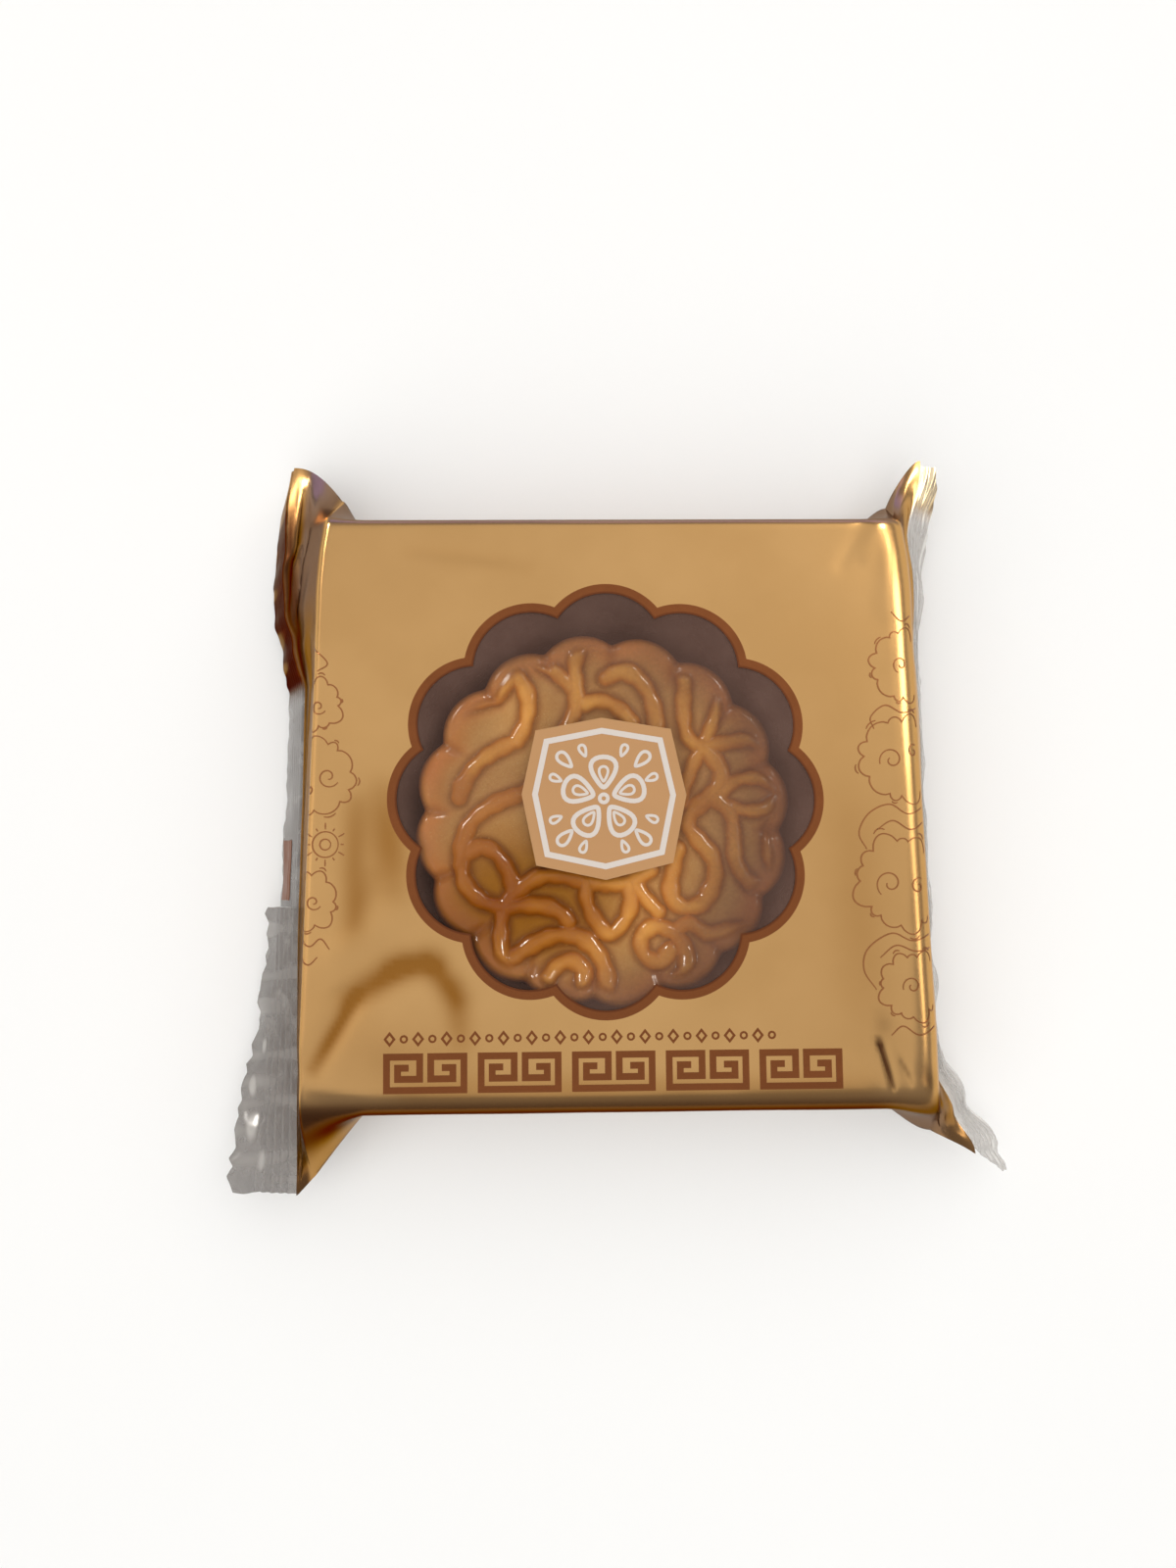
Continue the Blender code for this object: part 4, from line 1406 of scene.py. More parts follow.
@dataclass
class CloudLines:
    """Fine brown line work at both ends: billowing clouds, a sun and rolling waves."""

    printer: Printer
    stroke: float = 0.20

    def bank(self, points: Sequence[Point], chord: float = 2.2, bulge: float = 0.46) -> list[Line]:
        """A cloud's billowing outline with an echo of dashes outside it.

        Args:
            points: The places that the outline passes; it bulges to the left of
                the way they run.
            chord: The usual width of one billow.
            bulge: Each billow's height, as a share of its width.

        Returns:
            Its lines.
        """
        base = through(points, 0.15)
        count = max(3, round(len(base) * 0.15 / chord))
        uneven = np.cumsum([1 + 0.42 * math.sin(k * 2.4 + points[0][1]) for k in range(count)])
        share = np.concatenate([[0], uneven / uneven[-1]])
        ends = base[np.round(share * (len(base) - 1)).astype(int)]
        line, dashes = [], []
        for k, (a, b) in enumerate(zip(ends, ends[1:])):
            away = np.array([-(b - a)[1], (b - a)[0]]) * bulge * (0.85 + 0.25 * math.sin(k * 2.1))
            t = np.linspace(0, 1, 12)[:, None]
            bow = np.sin(t * math.pi) ** 0.62
            line.append(a + (b - a) * t + away * bow)
            if k % 2:
                echo = (t > 0.25) & (t < 0.75)
                dashes.append((a + (b - a) * t + away * 1.45 * bow)[echo[:, 0]])
        return [np.vstack([part[:-1] for part in line] + [ends[-1:]])] + dashes

    def curl(self, x: float, y: float, size: float, start: float, sweep: float = -420) -> list[Line]:
        """A scroll that winds in from its outer end."""
        return [spiral((x, y), size, size * 0.2, start, sweep, 0.2)]

    def sun(self, x: float, y: float, size: float) -> list[Line]:
        """Two rings with short rays round them."""
        lines = [spiral((x, y), size * share, size * share, 0, 360, 0.2) for share in (1.0, 0.42)]
        for k in range(12):
            way = np.array([math.cos(k * math.pi / 6), math.sin(k * math.pi / 6)]) * size
            lines.append(np.array([x, y]) + way * np.linspace(1.18, 1.18 + 0.26 * (1 + k % 2), 3)[:, None])
        return lines

    def right_lines(self) -> list[Line]:
        """The taller group at the right end."""
        lines = self.bank([(41.3, 15.4), (37.6, 15.0), (35.2, 17.6), (35.4, 21.2), (38.2, 23.6), (41.0, 22.8)])
        lines += self.curl(38.6, 19.4, 1.2, 250)
        lines += self.bank([(41.8, 2.2), (37.2, 1.6), (33.8, 4.2), (33.4, 8.4), (36.6, 11.4), (41.4, 11.0)], 2.9)
        lines += self.curl(36.9, 6.4, 1.7, 200) + self.curl(40.2, 7.6, 1.0, 60, 380)
        lines += self.bank([(42.1, -14.6), (37.8, -15.8), (33.8, -13.4), (32.2, -9.2), (34.6, -5.4), (38.4, -4.6), (41.9, -6.2)], 2.6)
        lines += self.curl(36.2, -10.2, 1.9, 230) + self.curl(40.2, -10.6, 1.2, 60, 400)
        lines += self.bank([(42.4, -26.4), (38.6, -27.8), (35.4, -25.6), (35.2, -22.0), (38.4, -20.0), (42.2, -20.6)], 1.9)
        lines += self.curl(38.8, -23.8, 1.3, 200)
        flows = (
            [(40.9, 26.4), (38.9, 25.4), (37.4, 26.6)],
            [(41.5, 13.6), (38.6, 12.8), (36.2, 13.8), (34.2, 12.2), (34.6, 10.6)],
            [(41.8, 0.0), (38.9, -0.9), (36.4, 0.4), (33.6, -0.8), (32.2, -3.4), (33.2, -5.6)],
            [(41.9, -2.0), (39.2, -3.0), (36.8, -1.8), (34.6, -3.0)],
            [(42.2, -17.0), (39.0, -17.8), (36.2, -16.8), (33.0, -18.8), (32.4, -21.6), (34.0, -24.2)],
            [(42.3, -18.8), (39.4, -19.2), (36.8, -18.4), (34.6, -20.0)],
            [(42.5, -29.2), (39.6, -30.2), (37.4, -29.0), (35.8, -30.2)],
        )
        lines += [through(flow, 0.3) for flow in flows]
        return lines

    def left_lines(self) -> list[Line]:
        """The narrower group at the left end."""
        lines = self.bank([(-41.9, 16.8), (-39.4, 17.4), (-37.4, 15.0), (-38.2, 12.0), (-41.7, 11.2)], 1.9)
        lines += self.curl(-40.0, 14.0, 1.1, 330)
        lines += self.bank([(-42.0, 8.6), (-38.8, 9.0), (-36.0, 6.4), (-35.9, 2.8), (-38.4, 0.4), (-42.1, 0.2)], 2.7)
        lines += self.curl(-38.6, 4.6, 1.5, 330) + self.curl(-41.2, 3.0, 0.9, 130, 380)
        lines += self.sun(-38.9, -4.4, 1.7)
        lines += self.bank([(-42.3, -8.8), (-39.6, -8.6), (-37.8, -11.2), (-38.8, -14.4), (-42.4, -15.4)], 2.1)
        lines += self.curl(-40.4, -12.0, 1.1, 330)
        flows = (
            [(-42.0, 22.4), (-40.2, 21.4), (-38.8, 19.8), (-40.2, 18.8)],
            [(-42.3, -16.9), (-40.8, -17.8), (-39.4, -16.8), (-38.2, -18.2)],
            [(-42.4, -19.2), (-41.0, -20.2), (-39.8, -19.2)],
        )
        return lines + [through(flow, 0.3) for flow in flows]

    def build(self) -> bpy.types.Object:
        """Models all lines and joins them."""
        parts = []
        for line in self.right_lines() + self.left_lines():
            taper = np.sin(np.linspace(0.12, 0.88, len(line)) * math.pi) ** 0.4
            parts.append(Printer.strip(line, self.stroke * taper))
        return self.printer.lay(join(parts, "cloud_lines"))


@dataclass
class Badge:
    """The gold eight-sided badge in the window, with a white frame and a blossom."""

    printer: Printer
    pane: WindowPane
    corners: tuple = (
        (-2.1, 12.4), (7.2, 10.8), (9.2, 1.9), (7.3, -7.2), (-1.7, -9.4), (-11.0, -7.4), (-12.9, 2.1), (-11.0, 10.7),
    )
    centre: Point = (-1.9, 1.5)
    frame_inset: float = 1.75
    frame_width: float = 0.78

    def inset(self, by: float) -> np.ndarray:
        """The badge's corners, moved in by a distance."""
        outline = np.array(self.corners)
        ahead = np.roll(outline, -1, axis=0) - outline
        ahead /= np.hypot(*ahead.T)[:, None]
        inward = np.stack([ahead[:, 1], -ahead[:, 0]], axis=1)
        before = np.roll(inward, 1, axis=0)
        bisector = inward + before
        bisector /= (bisector * inward).sum(axis=1)[:, None]
        return outline + bisector * by

    def level(self, x: np.ndarray, y: np.ndarray) -> np.ndarray:
        """Height of the clear film's outer face."""
        return self.pane.shape.height - self.pane.drop + self.pane.shape.top_lift(x, y) + self.pane.sag(x, y)

    def build_plate(self) -> bpy.types.Object:
        """Models the gold plate as rings of the octagon, closed at its middle."""
        edge = np.array(self.corners)
        steps = 10
        outline = np.vstack([
            a + (b - a) * np.linspace(0, 1, steps, endpoint=False)[:, None]
            for a, b in zip(edge, np.roll(edge, -1, axis=0))
        ])[::-1]
        plate, ring, turn = ringed_tube("badge_plate", len(outline), 14)
        share = (1 - ring / 13)[:, None]
        flat = np.array(self.centre) + (outline[turn] - np.array(self.centre)) * share
        place(plate, np.column_stack([flat, np.zeros(len(flat))]))
        merge_close(plate, 1e-4)
        self.printer.lay(plate, self.level)
        return plate

    def petal(self, angle: float, near: float, far: float, width: float) -> Line:
        """The closed outline of one petal, pointing along an angle in degrees."""
        t = np.linspace(0, 2 * math.pi, 26, endpoint=False)
        along = (near + far) / 2 - (far - near) / 2 * np.cos(t)
        across = width / 2 * np.sin(t) * (0.72 - 0.38 * np.cos(t))
        a = math.radians(angle)
        return np.stack([
            self.centre[0] + along * math.cos(a) - across * math.sin(a),
            self.centre[1] + along * math.sin(a) + across * math.cos(a),
        ], axis=1)

    def build_white(self) -> bpy.types.Object:
        """Models the frame line and the blossom with its sprays."""
        parts = []
        frame_line = self.inset(self.frame_inset)
        fine = []
        for a, b in zip(frame_line, np.roll(frame_line, -1, axis=0)):
            fine.extend(a + (b - a) * i / 6 for i in range(6))
        parts.append(Printer.strip(np.array(fine), np.array(self.frame_width), closed=True))
        for k in range(5):
            angle = 90 + 72 * k
            parts.append(Printer.strip(self.petal(angle, 1.5, 5.6, 4.3), np.array(0.62), closed=True))
            parts.append(Printer.strip(self.petal(angle, 2.3, 4.3, 1.5), np.array(0.36), closed=True))
        parts.append(Printer.strip(spiral(self.centre, 0.55, 0.55, 0, 335, 0.2), np.array(0.5), closed=True))
        for k in range(4):
            angle = 45 + 90 * k
            parts.append(Printer.strip(self.petal(angle, 6.1, 8.6, 1.7), np.array(0.44), closed=True))
            for turn in (-22, 22):
                parts.append(Printer.strip(self.petal(angle + turn, 6.2, 7.8, 1.1), np.array(0.38), closed=True))
        piece = join(parts, "badge_white")
        x, y, _ = spots(piece).T
        return self.printer.lay(piece, lambda px, py: self.level(px, py) + 0.03)


# ---------------------------------------------------------------- end seals


@dataclass
class CrimpSeal:
    """One crimped end seal: a wavy, ribbed sheet with a pinked edge."""

    name: str
    shape: FilmShape
    side: Side
    droop: Table
    ribs_grow: Table
    widths: Table
    gilt_from: float
    front: float = -51.2
    back: float = 51.2
    tail: float = 0.0
    whiteness: float = 0.0
    rib_pitch: float = 1.25
    rib_height: float = 0.16
    tooth_pitch: float = 3.1
    tooth_depth: float = 0.9
    thickness: float = 0.12
    rows: int = 330
    columns: int = 40

    def tooth_edge(self, y: np.ndarray) -> np.ndarray:
        """The sheet's width at each y, with its uneven teeth."""
        tooth = np.abs(np.mod(y / self.tooth_pitch + 0.13 * np.sin(y * 0.9), 1.0) - 0.5) * 2
        uneven = 0.55 + 0.45 * np.sin(y * 0.37 + 1.0)
        depth = self.tooth_depth * np.clip(self.widths.at(y) / 8 - 0.2, 0, 1)
        return self.widths.at(y) - depth * (tooth * (0.6 + 0.4 * uneven) + 0.28 * np.sin(y * 0.21))

    def surface(self, run: np.ndarray, y: np.ndarray, proud: float = 0.0) -> np.ndarray:
        """Places on the sheet.

        Args:
            run: Distances out from the root, one row of them for each y.
            y: The places across, of the same shape.
            proud: How far above the sheet's middle.

        Returns:
            An array of places with a last axis of 3.
        """
        droop = np.radians(self.droop.at(y[:, 0]))[:, None]
        free = self.ribs_grow.at(y[:, 0])[:, None]
        angle = droop * smooth_step(-0.2, 1.3, run)
        angle = angle + 0.10 * np.minimum(free, 1) * np.sin(y * 0.55) * smooth_step(1.0, 9.0, run)
        step = np.diff(run, axis=1, prepend=0.0)
        out, down = np.cumsum(np.cos(angle) * step, axis=1), np.cumsum(np.sin(angle) * step, axis=1)
        ribs = np.cos(2 * math.pi * run / self.rib_pitch) * smooth_step(0.6, 1.4, run) * (1 - smooth_step(5.4, 6.6, run))
        wave = ripple(run * 1.6, y, 8.0, 2.0 + self.side.value)
        lift = free * (self.rib_height * ribs + 0.30 * wave * smooth_step(1.5, 9.0, run)) + proud
        x = self.shape.end_edge(y) + self.shape.reach(self.side, y) - 0.25 + out + lift * np.sin(angle)
        z = self.shape.seal_level - down + lift * np.cos(angle)
        return np.stack([self.side.value * x, y + 0.25 * wave * free * smooth_step(2.0, 9.0, run), z], axis=-1)

    def build(self) -> bpy.types.Object:
        """Models the sheet row by row from its root to its edge."""
        sheet, column, row = grid_sheet(self.name, self.columns, self.rows)
        y_of = np.linspace(self.front, self.back, self.rows)
        inner = self.tail * np.clip((-47.6 - y_of) / 4.0, 0, 1)[:, None]
        run = inner + np.linspace(0, 1, self.columns)[None, :] * (self.tooth_edge(y_of)[:, None] - inner)
        y = np.broadcast_to(y_of[:, None], run.shape)
        place(sheet, self.surface(run, y)[row, column] * MM)
        mark(sheet, "milk_and_glint", self.milk_and_glint(run, y)[row, column])
        mark(sheet, "gilt", smooth_step(self.gilt_from, self.gilt_from + 3.5, y)[row, column])
        apply_modifier(sheet, "SOLIDIFY", thickness=self.thickness * MM, offset=0.0)
        with editing(sheet):
            bpy.ops.mesh.normals_make_consistent(inside=False)
        soften(sheet, 60)
        return sheet

    def build_mark(self, front: float, back: float, near: float, far: float) -> bpy.types.Object:
        """Models a small printed block on the sheet.

        Args:
            front: Its lowest y.
            back: Its highest y.
            near: Its distance from the sheet's root.
            far: The distance of its outer edge.

        Returns:
            The block.
        """
        columns, rows = 24, 24
        block, column, row = grid_sheet(self.name + "_mark", columns, rows)
        run = np.concatenate([np.linspace(0, near, 20, endpoint=False), np.linspace(near, far, columns)])
        y = np.linspace(front, back, rows)
        grid_run, grid_y = np.meshgrid(run, y)
        place(block, self.surface(grid_run, grid_y, 0.10)[:, 20:][row, column] * MM)
        apply_modifier(block, "SOLIDIFY", thickness=0.03 * MM, offset=0.0)
        mark(block, "rim", np.zeros(len(block.data.vertices)))
        return block

    def milk_and_glint(self, run: np.ndarray, y: np.ndarray) -> np.ndarray:
        """Where the sheet looks whiter: a few pressed oval spots, painted highlights on the rib crests, painted streaks
        of reflection, painted light at the back end and a rise towards the outer edge.
        """
        crest = 0.35 * smooth_step(0.4, 1.0, np.cos(2 * math.pi * run / self.rib_pitch)) * (1 - smooth_step(6.4, 7.4, run))
        spots_at = [(7.6, -44.0, 1.3), (5.6, -48.5, 1.0), (8.4, -38.5, 0.9), (7.2, -33.0, 0.7)]
        oval = np.zeros(run.shape)
        for w, at, size in spots_at:
            oval = np.maximum(oval, np.exp(-(((run - w) / (size * 0.7)) ** 2 + ((y - at) / (size * 1.6)) ** 2) ** 2))
        edge = 0.3 * smooth_step(0.0, 1.0, run / 10.0) ** 4
        if self.side is Side.LEFT:
            # Painted reflection: streaks of glint across the sheet.
            streak = 0.4 * np.clip(ripple(run * 0.5, y * 2.2, 9.0, 8.0) * 1.4, 0, 1)
        else:
            streak = smooth_step(0.25, 0.8, ripple(run * 3.2 + 0.25 * y, y * 0.45, 5.5, 8.0))
            streak = streak * (0.25 + 0.65 * smooth_step(5.0, 25.0, y))
        # Painted light: the back end and its root are lit whiter.
        lit = 0.75 * smooth_step(42.0, 49.0, y) + 0.5 * smooth_step(0.5, 0.1, run) * smooth_step(34.0, 44.0, y)
        return np.clip(np.maximum.reduce([crest, oval * 0.9, streak]) + edge + lit + self.whiteness, 0, 1)

    def dress(self, sheet: bpy.types.Object, finish: bpy.types.Material) -> None:
        """Gives the seal its milky film."""
        dress(sheet, finish, Slot.CLEAR, "seal_left" if self.side is Side.LEFT else "seal_right")


@dataclass
class BackSeam:
    """The lap seam that closes the tube along its underside."""

    shape: FilmShape
    width: float = 10.5
    thickness: float = 0.07
    level: float = 0.17
    columns: int = 120
    rows: int = 45

    def build(self) -> bpy.types.Object:
        """Models the folded-over seam as a thin ribbed strip under the film."""
        seam, column, row = grid_sheet("back_seam", self.columns, self.rows)
        x = np.linspace(-1, 1, self.columns)[column]
        across = np.linspace(-0.5, 0.5, self.rows)[row]
        y = across * self.width + 0.5 * np.sin(x * 3.0) + 0.25 * np.sin(x * 11.0)
        x = x * (self.shape.end_edge(y) + 0.2)
        ribs = 0.05 * np.cos(across * self.width * 2 * math.pi / 1.25) * smooth_step(0.48, 0.40, np.abs(across))
        curl = 0.10 * smooth_step(0.30, 0.5, across) * np.sin(x * 0.22)
        z = self.level + ribs + curl * 0.5 + 0.03 * ripple(x, y, 14.0, 5.0)
        place(seam, np.stack([x, y, np.maximum(z, 0.05)], axis=1) * MM)
        apply_modifier(seam, "SOLIDIFY", thickness=self.thickness * MM, offset=0.0)
        # Painted shade: the seam under the pack is darkened, more at its edges.
        mark(seam, "shade_tone", 0.25 + 0.2 * smooth_step(0.38, 0.5, np.abs(spots(seam)[:, 1] / MM / self.width)))
        soften(seam, 60)
        return seam


# --------------------------------------------------------------------- tray


@dataclass
class Tray:
    """The dark moulded tray: a rounded block with a round well and a soft lip."""

    side: float = 75.0
    corner: float = 5.0
    top: float = 21.8
    floor: float = 1.3
    well_centre: Point = (-1.9, 0.0)
    well_top: float = 30.5
    well_base: float = 27.5
    wall: float = 0.5

    def build(self) -> bpy.types.Object:
        """Models the block, sinks its well, opens its underside and thins it to a shell."""
        clear_choice()
        bpy.ops.mesh.primitive_cube_add(size=1.0)
        block = bpy.context.object
        block.scale = (self.side * MM, self.side * MM, (self.top - self.floor) * MM)
        block.location = (0, 0, (self.top + self.floor) / 2 * MM)
        block = new_piece("tray_shell")
        self.round_edges(block, upright=True, offset=self.corner, segments=8)
        self.sink_well(block)
        self.round_edges(block, upright=False, offset=0.9, segments=4)
        low = (self.floor + 0.01) * MM
        faces = [all(block.data.vertices[v].co.z < low for v in face.vertices) for face in block.data.polygons]
        with editing(block, np.array(faces), Kind.FACE):
            bpy.ops.mesh.delete(type="FACE")
        apply_modifier(block, "SOLIDIFY", thickness=self.wall * MM, offset=-1.0)
        soften(block, 35)
        return block

    def round_edges(self, block: bpy.types.Object, upright: bool, offset: float, segments: int) -> None:
        """Bevels the upright corner edges, or all edges at the tray's top."""
        chosen = []
        for edge in block.data.edges:
            a, b = (block.data.vertices[v].co for v in edge.vertices)
            if upright:
                chosen.append(abs(a.z - b.z) > 10 * MM)
            else:
                faces = abs(a.z - self.top * MM) < 1e-5 and abs(b.z - self.top * MM) < 1e-5
                chosen.append(faces)
        with editing(block, np.array(chosen), Kind.EDGE):
            bpy.ops.mesh.bevel(offset=offset * MM, segments=segments, affect="EDGES")

    def sink_well(self, block: bpy.types.Object) -> None:
        """Cuts the round well, which narrows towards its floor."""
        clear_choice()
        low, high = self.floor + self.wall + 0.1, self.top + 1.0
        slope = (self.well_top - self.well_base) / (self.top - low)
        bpy.ops.mesh.primitive_cone_add(
            vertices=160, radius1=self.well_base * MM, radius2=(self.well_top + slope) * MM,
            depth=(high - low) * MM, location=(self.well_centre[0] * MM, self.well_centre[1] * MM, (low + high) / 2 * MM),
        )
        cutter = new_piece("well_cutter")
        apply_modifier(block, "BOOLEAN", operation="DIFFERENCE", object=cutter, solver="EXACT")
        bpy.data.objects.remove(cutter)

    def dress(self, block: bpy.types.Object) -> None:
        """Gives the tray its dark plastic."""
        dress(block, TrayPlastic().material(), Slot.TRAY, "tray")


# ------------------------------------------------------------------ mooncake


@dataclass
class Mooncake:
    """The pressed and glazed cake: sixteen scallops, a rim and raised tendrils."""

    centre: Point = (-2.0, -1.3)
    base: float = 2.3
    crest: float = 22.2
    lobes: int = 16
    lobe_out: float = 19.25
    lobe_radius: float = 6.5
    first_cusp: float = 86.4
    ground_depth: float = 1.15
    rim_width: float = 3.4
    shoulder: float = 1.7
    ridge_half_width: float = 1.2
    ridge_height: float = 1.12
    around: int = 704

    def strokes(self) -> list[tuple[Line, float]]:
        """The pressed flower and tendrils.

        Returns:
            Pairs of a line and its half width, in millimetres.
        """
        w = self.ridge_half_width
        drawn = [
            ([(-21.2, 14.2), (-18.5, 15.1), (-16.3, 15.9), (-14.8, 17.4), (-14.0, 18.9)], w),
            ([(-14.0, 18.9), (-12.4, 16.6), (-12.0, 14.2), (-12.5, 11.6), (-13.6, 9.6)], w * 1.05),
            ([(-13.6, 9.6), (-16.4, 8.2), (-19.0, 6.4), (-20.8, 3.8), (-21.4, 1.9)], w),
            ([(-9.9, 20.1), (-8.6, 19.2), (-7.2, 18.0), (-5.8, 16.6)], w * 0.95),
            ([(-4.9, 22.4), (-5.6, 20.0), (-5.4, 16.5), (-5.7, 13.5), (-7.2, 10.6), (-8.0, 8.4)], w),
            ([(-4.6, 22.6), (-2.6, 23.2), (-0.4, 22.9)], w * 0.8),
            ([(-1.4, 18.1), (0.2, 18.9), (2.0, 18.7), (3.8, 17.2), (5.0, 14.6), (5.4, 11.6), (5.4, 9.0)], w * 1.05),
            ([(-4.2, 14.6), (-2.6, 15.0), (-0.8, 14.6), (0.8, 13.5), (2.0, 12.0)], w),
            ([(8.5, 20.4), (9.3, 17.6), (9.2, 14.0), (9.5, 10.6), (10.6, 9.0), (11.8, 8.6)], w * 0.95),
            ([(14.6, 15.6), (13.6, 13.2), (12.6, 10.6), (11.8, 8.6)], w * 0.85),
            ([(11.8, 8.6), (14.6, 9.1), (18.2, 9.4), (21.2, 8.0)], w * 0.9),
            ([(11.8, 8.6), (13.6, 6.4), (14.2, 4.6), (12.8, 2.0), (10.4, 0.0), (9.6, -2.0), (11.0, -4.1), (12.8, -6.4),
              (13.1, -9.2), (11.6, -12.3), (9.4, -13.2), (7.6, -12.4), (7.1, -10.4), (7.6, -7.6), (8.0, -5.4)], w * 1.05),
            ([(11.8, 8.6), (10.6, 6.6), (9.4, 3.5), (8.6, 1.0)], w * 0.85),
            ([(14.0, 2.0), (15.8, 3.7), (18.2, 4.3), (20.6, 3.8), (22.2, 2.3)], w * 0.85),
            ([(13.4, 1.4), (15.4, 0.4), (18.0, -0.2), (20.4, 0.2), (22.2, 1.8)], w * 0.85),
            ([(13.5, 1.4), (15.4, -0.4), (15.8, -3.4), (16.0, -7.0), (17.8, -9.9), (20.4, -11.4)], w * 0.95),
            ([(21.9, -0.5), (20.7, -3.4), (20.5, -6.2), (21.5, -9.4)], w * 0.85),
            ([(-10.4, 4.2), (-12.5, 2.6), (-16.4, 1.1), (-19.6, -1.2), (-21.0, -4.4), (-21.2, -7.2)], w),
            ([(-15.5, -13.0), (-18.4, -12.0), (-20.6, -9.6), (-20.9, -6.6), (-19.0, -4.9), (-16.8, -5.4), (-14.9, -7.9),
              (-14.2, -10.6), (-15.2, -12.6)], w),
            ([(-15.5, -13.0), (-13.6, -10.8), (-10.8, -9.0), (-7.5, -8.8), (-2.5, -9.8), (1.5, -9.7), (4.4, -8.0)], w * 1.05),
            ([(-15.5, -13.0), (-12.5, -12.7), (-9.6, -12.9), (-7.6, -13.9), (-6.7, -15.0)], w * 1.05),
            ([(-15.5, -13.0), (-15.8, -15.4), (-15.7, -18.6), (-15.0, -21.4)], w),
            ([(-15.0, -20.2), (-12.2, -18.3), (-8.6, -16.8), (-5.2, -17.1), (-2.8, -19.2), (-1.7, -22.0), (-1.8, -23.8)], w * 1.1),
            ([(-9.9, -22.9), (-8.4, -20.9), (-6.4, -20.2), (-4.8, -21.3), (-4.8, -23.0)], w * 1.05),
            ([(-4.2, -9.6), (-4.3, -11.8), (-3.4, -14.2), (-1.3, -16.6), (0.8, -14.9), (1.7, -12.4), (1.5, -9.9)], w),
            ([(2.6, -10.4), (3.9, -12.1), (5.4, -13.7)], w),
            ([(6.9, -18.8), (5.4, -20.4), (3.4, -19.4), (3.1, -17.1), (4.9, -15.7), (7.4, -16.6), (9.0, -19.0), (8.9, -21.2),
              (8.0, -22.6)], w),
            ([(7.6, -16.4), (9.5, -15.3), (12.0, -16.7), (14.5, -16.4), (17.0, -16.0)], w * 0.9),
            ([(-7.0, 4.7), (-5.4, 1.5), (-1.2, 0.1), (3.2, 1.7), (5.0, 5.7)], w),
            ([(-1.2, 0.1), (-3.4, -4.3), (-1.6, -9.9)], w),
        ]
        return [(through(points, 0.35), half) for points, half in drawn]

    def outline(self, angle: np.ndarray) -> np.ndarray:
        """The scalloped outline's radius, with slightly softened cusps."""
        sharp = lobed_radius(angle, self.lobes, self.lobe_out, self.lobe_radius, math.radians(self.first_cusp))
        near = [
            lobed_radius(angle + shift, self.lobes, self.lobe_out, self.lobe_radius, math.radians(self.first_cusp))
            for shift in (-0.022, -0.011, 0.011, 0.022)
        ]
        return 0.5 * sharp + 0.125 * sum(near)

    def rings(self) -> np.ndarray:
        """Rings from the middle of the base out, up the side and in over the top.

        Returns:
            Rows of (share of the outline, inset, height), where the inset is
            taken off the outline before the share.
        """
        foot = [(share, 1.6, self.base) for share in (0.0, 0.3, 0.6, 0.85, 1.0)]
        foot += [(1, 0.9, self.base + 0.12), (1, 0.4, self.base + 0.45), (1, 0.12, self.base + 1.0), (1, 0, self.base + 1.8)]
        wall_top = self.crest - self.shoulder - 0.9
        wall = [(1, 0.0, z) for z in np.linspace(self.base + 3.2, wall_top, 9)]
        over = [(1, inset, 0.0) for inset in np.linspace(0.0, self.rim_width, 26)[1:]]
        field_rings = [(share, self.rim_width, 0.0) for share in np.linspace(1, 0.34, 70)[1:]]
        middle = [(share, self.rim_width, 0.0) for share in np.linspace(0.34, 0.0, 14)[1:]]
        return np.array(foot + wall + over + field_rings + middle)

    def top_height(self, inset: np.ndarray, from_circle: np.ndarray) -> np.ndarray:
        """Height of the rim and the pressed ground.

        Args:
            inset: Distances in from the scalloped outline.
            from_circle: Distances in from the round line through the scallops.

        Returns:
            The height at each place, in millimetres.
        """
        rim = self.rim_width
        shoulder = np.clip(inset / self.shoulder, 0, 1)
        fall = (self.shoulder + 0.9) * (1 - np.sqrt(np.maximum(1 - (1 - shoulder) ** 2.2, 0)))
        inner = smooth_step(self.shoulder - 0.6, rim + 1.6, from_circle)
        return self.crest - fall * (inset < self.shoulder) - self.ground_depth * inner

    def relief(self, x: np.ndarray, y: np.ndarray) -> tuple[np.ndarray, np.ndarray]:
        """The raised tendrils at each place.

        Args:
            x: Places on the cake.
            y: Places on the cake.

        Returns:
            The height share, 0 to 1, and the distance from the nearest
            tendril's foot.
        """
        high = np.zeros(len(x))
        near = np.full(len(x), 9.0)
        for line, half in self.strokes():
            box = (
                (x > line[:, 0].min() - 3) & (x < line[:, 0].max() + 3)
                & (y > line[:, 1].min() - 3) & (y < line[:, 1].max() + 3)
            )
            px, py = x[box], y[box]
            closest = np.full(len(px), 9.0)
            at = np.zeros(len(px))
            for k, (a, b) in enumerate(zip(line, line[1:])):
                run = b - a
                t = np.clip(((px - a[0]) * run[0] + (py - a[1]) * run[1]) / (run @ run), 0, 1)
                away = np.hypot(px - a[0] - t * run[0], py - a[1] - t * run[1])
                better = away < closest
                closest = np.where(better, away, closest)
                at = np.where(better, k + t, at)
            wobble = 1 + 0.09 * np.sin(at * 0.31 + line[0, 0]) + 0.07 * np.sin(at * 0.83 + line[0, 1])
            share = closest / (half * wobble)
            swell = np.maximum(1 - share**2, 0) ** 0.62
            level = 0.90 + 0.12 * np.sin(at * 0.23 + line[-1, 0])
            high[box] = np.maximum(high[box], swell * level)
            near[box] = np.minimum(near[box], closest - half)
        return high, near

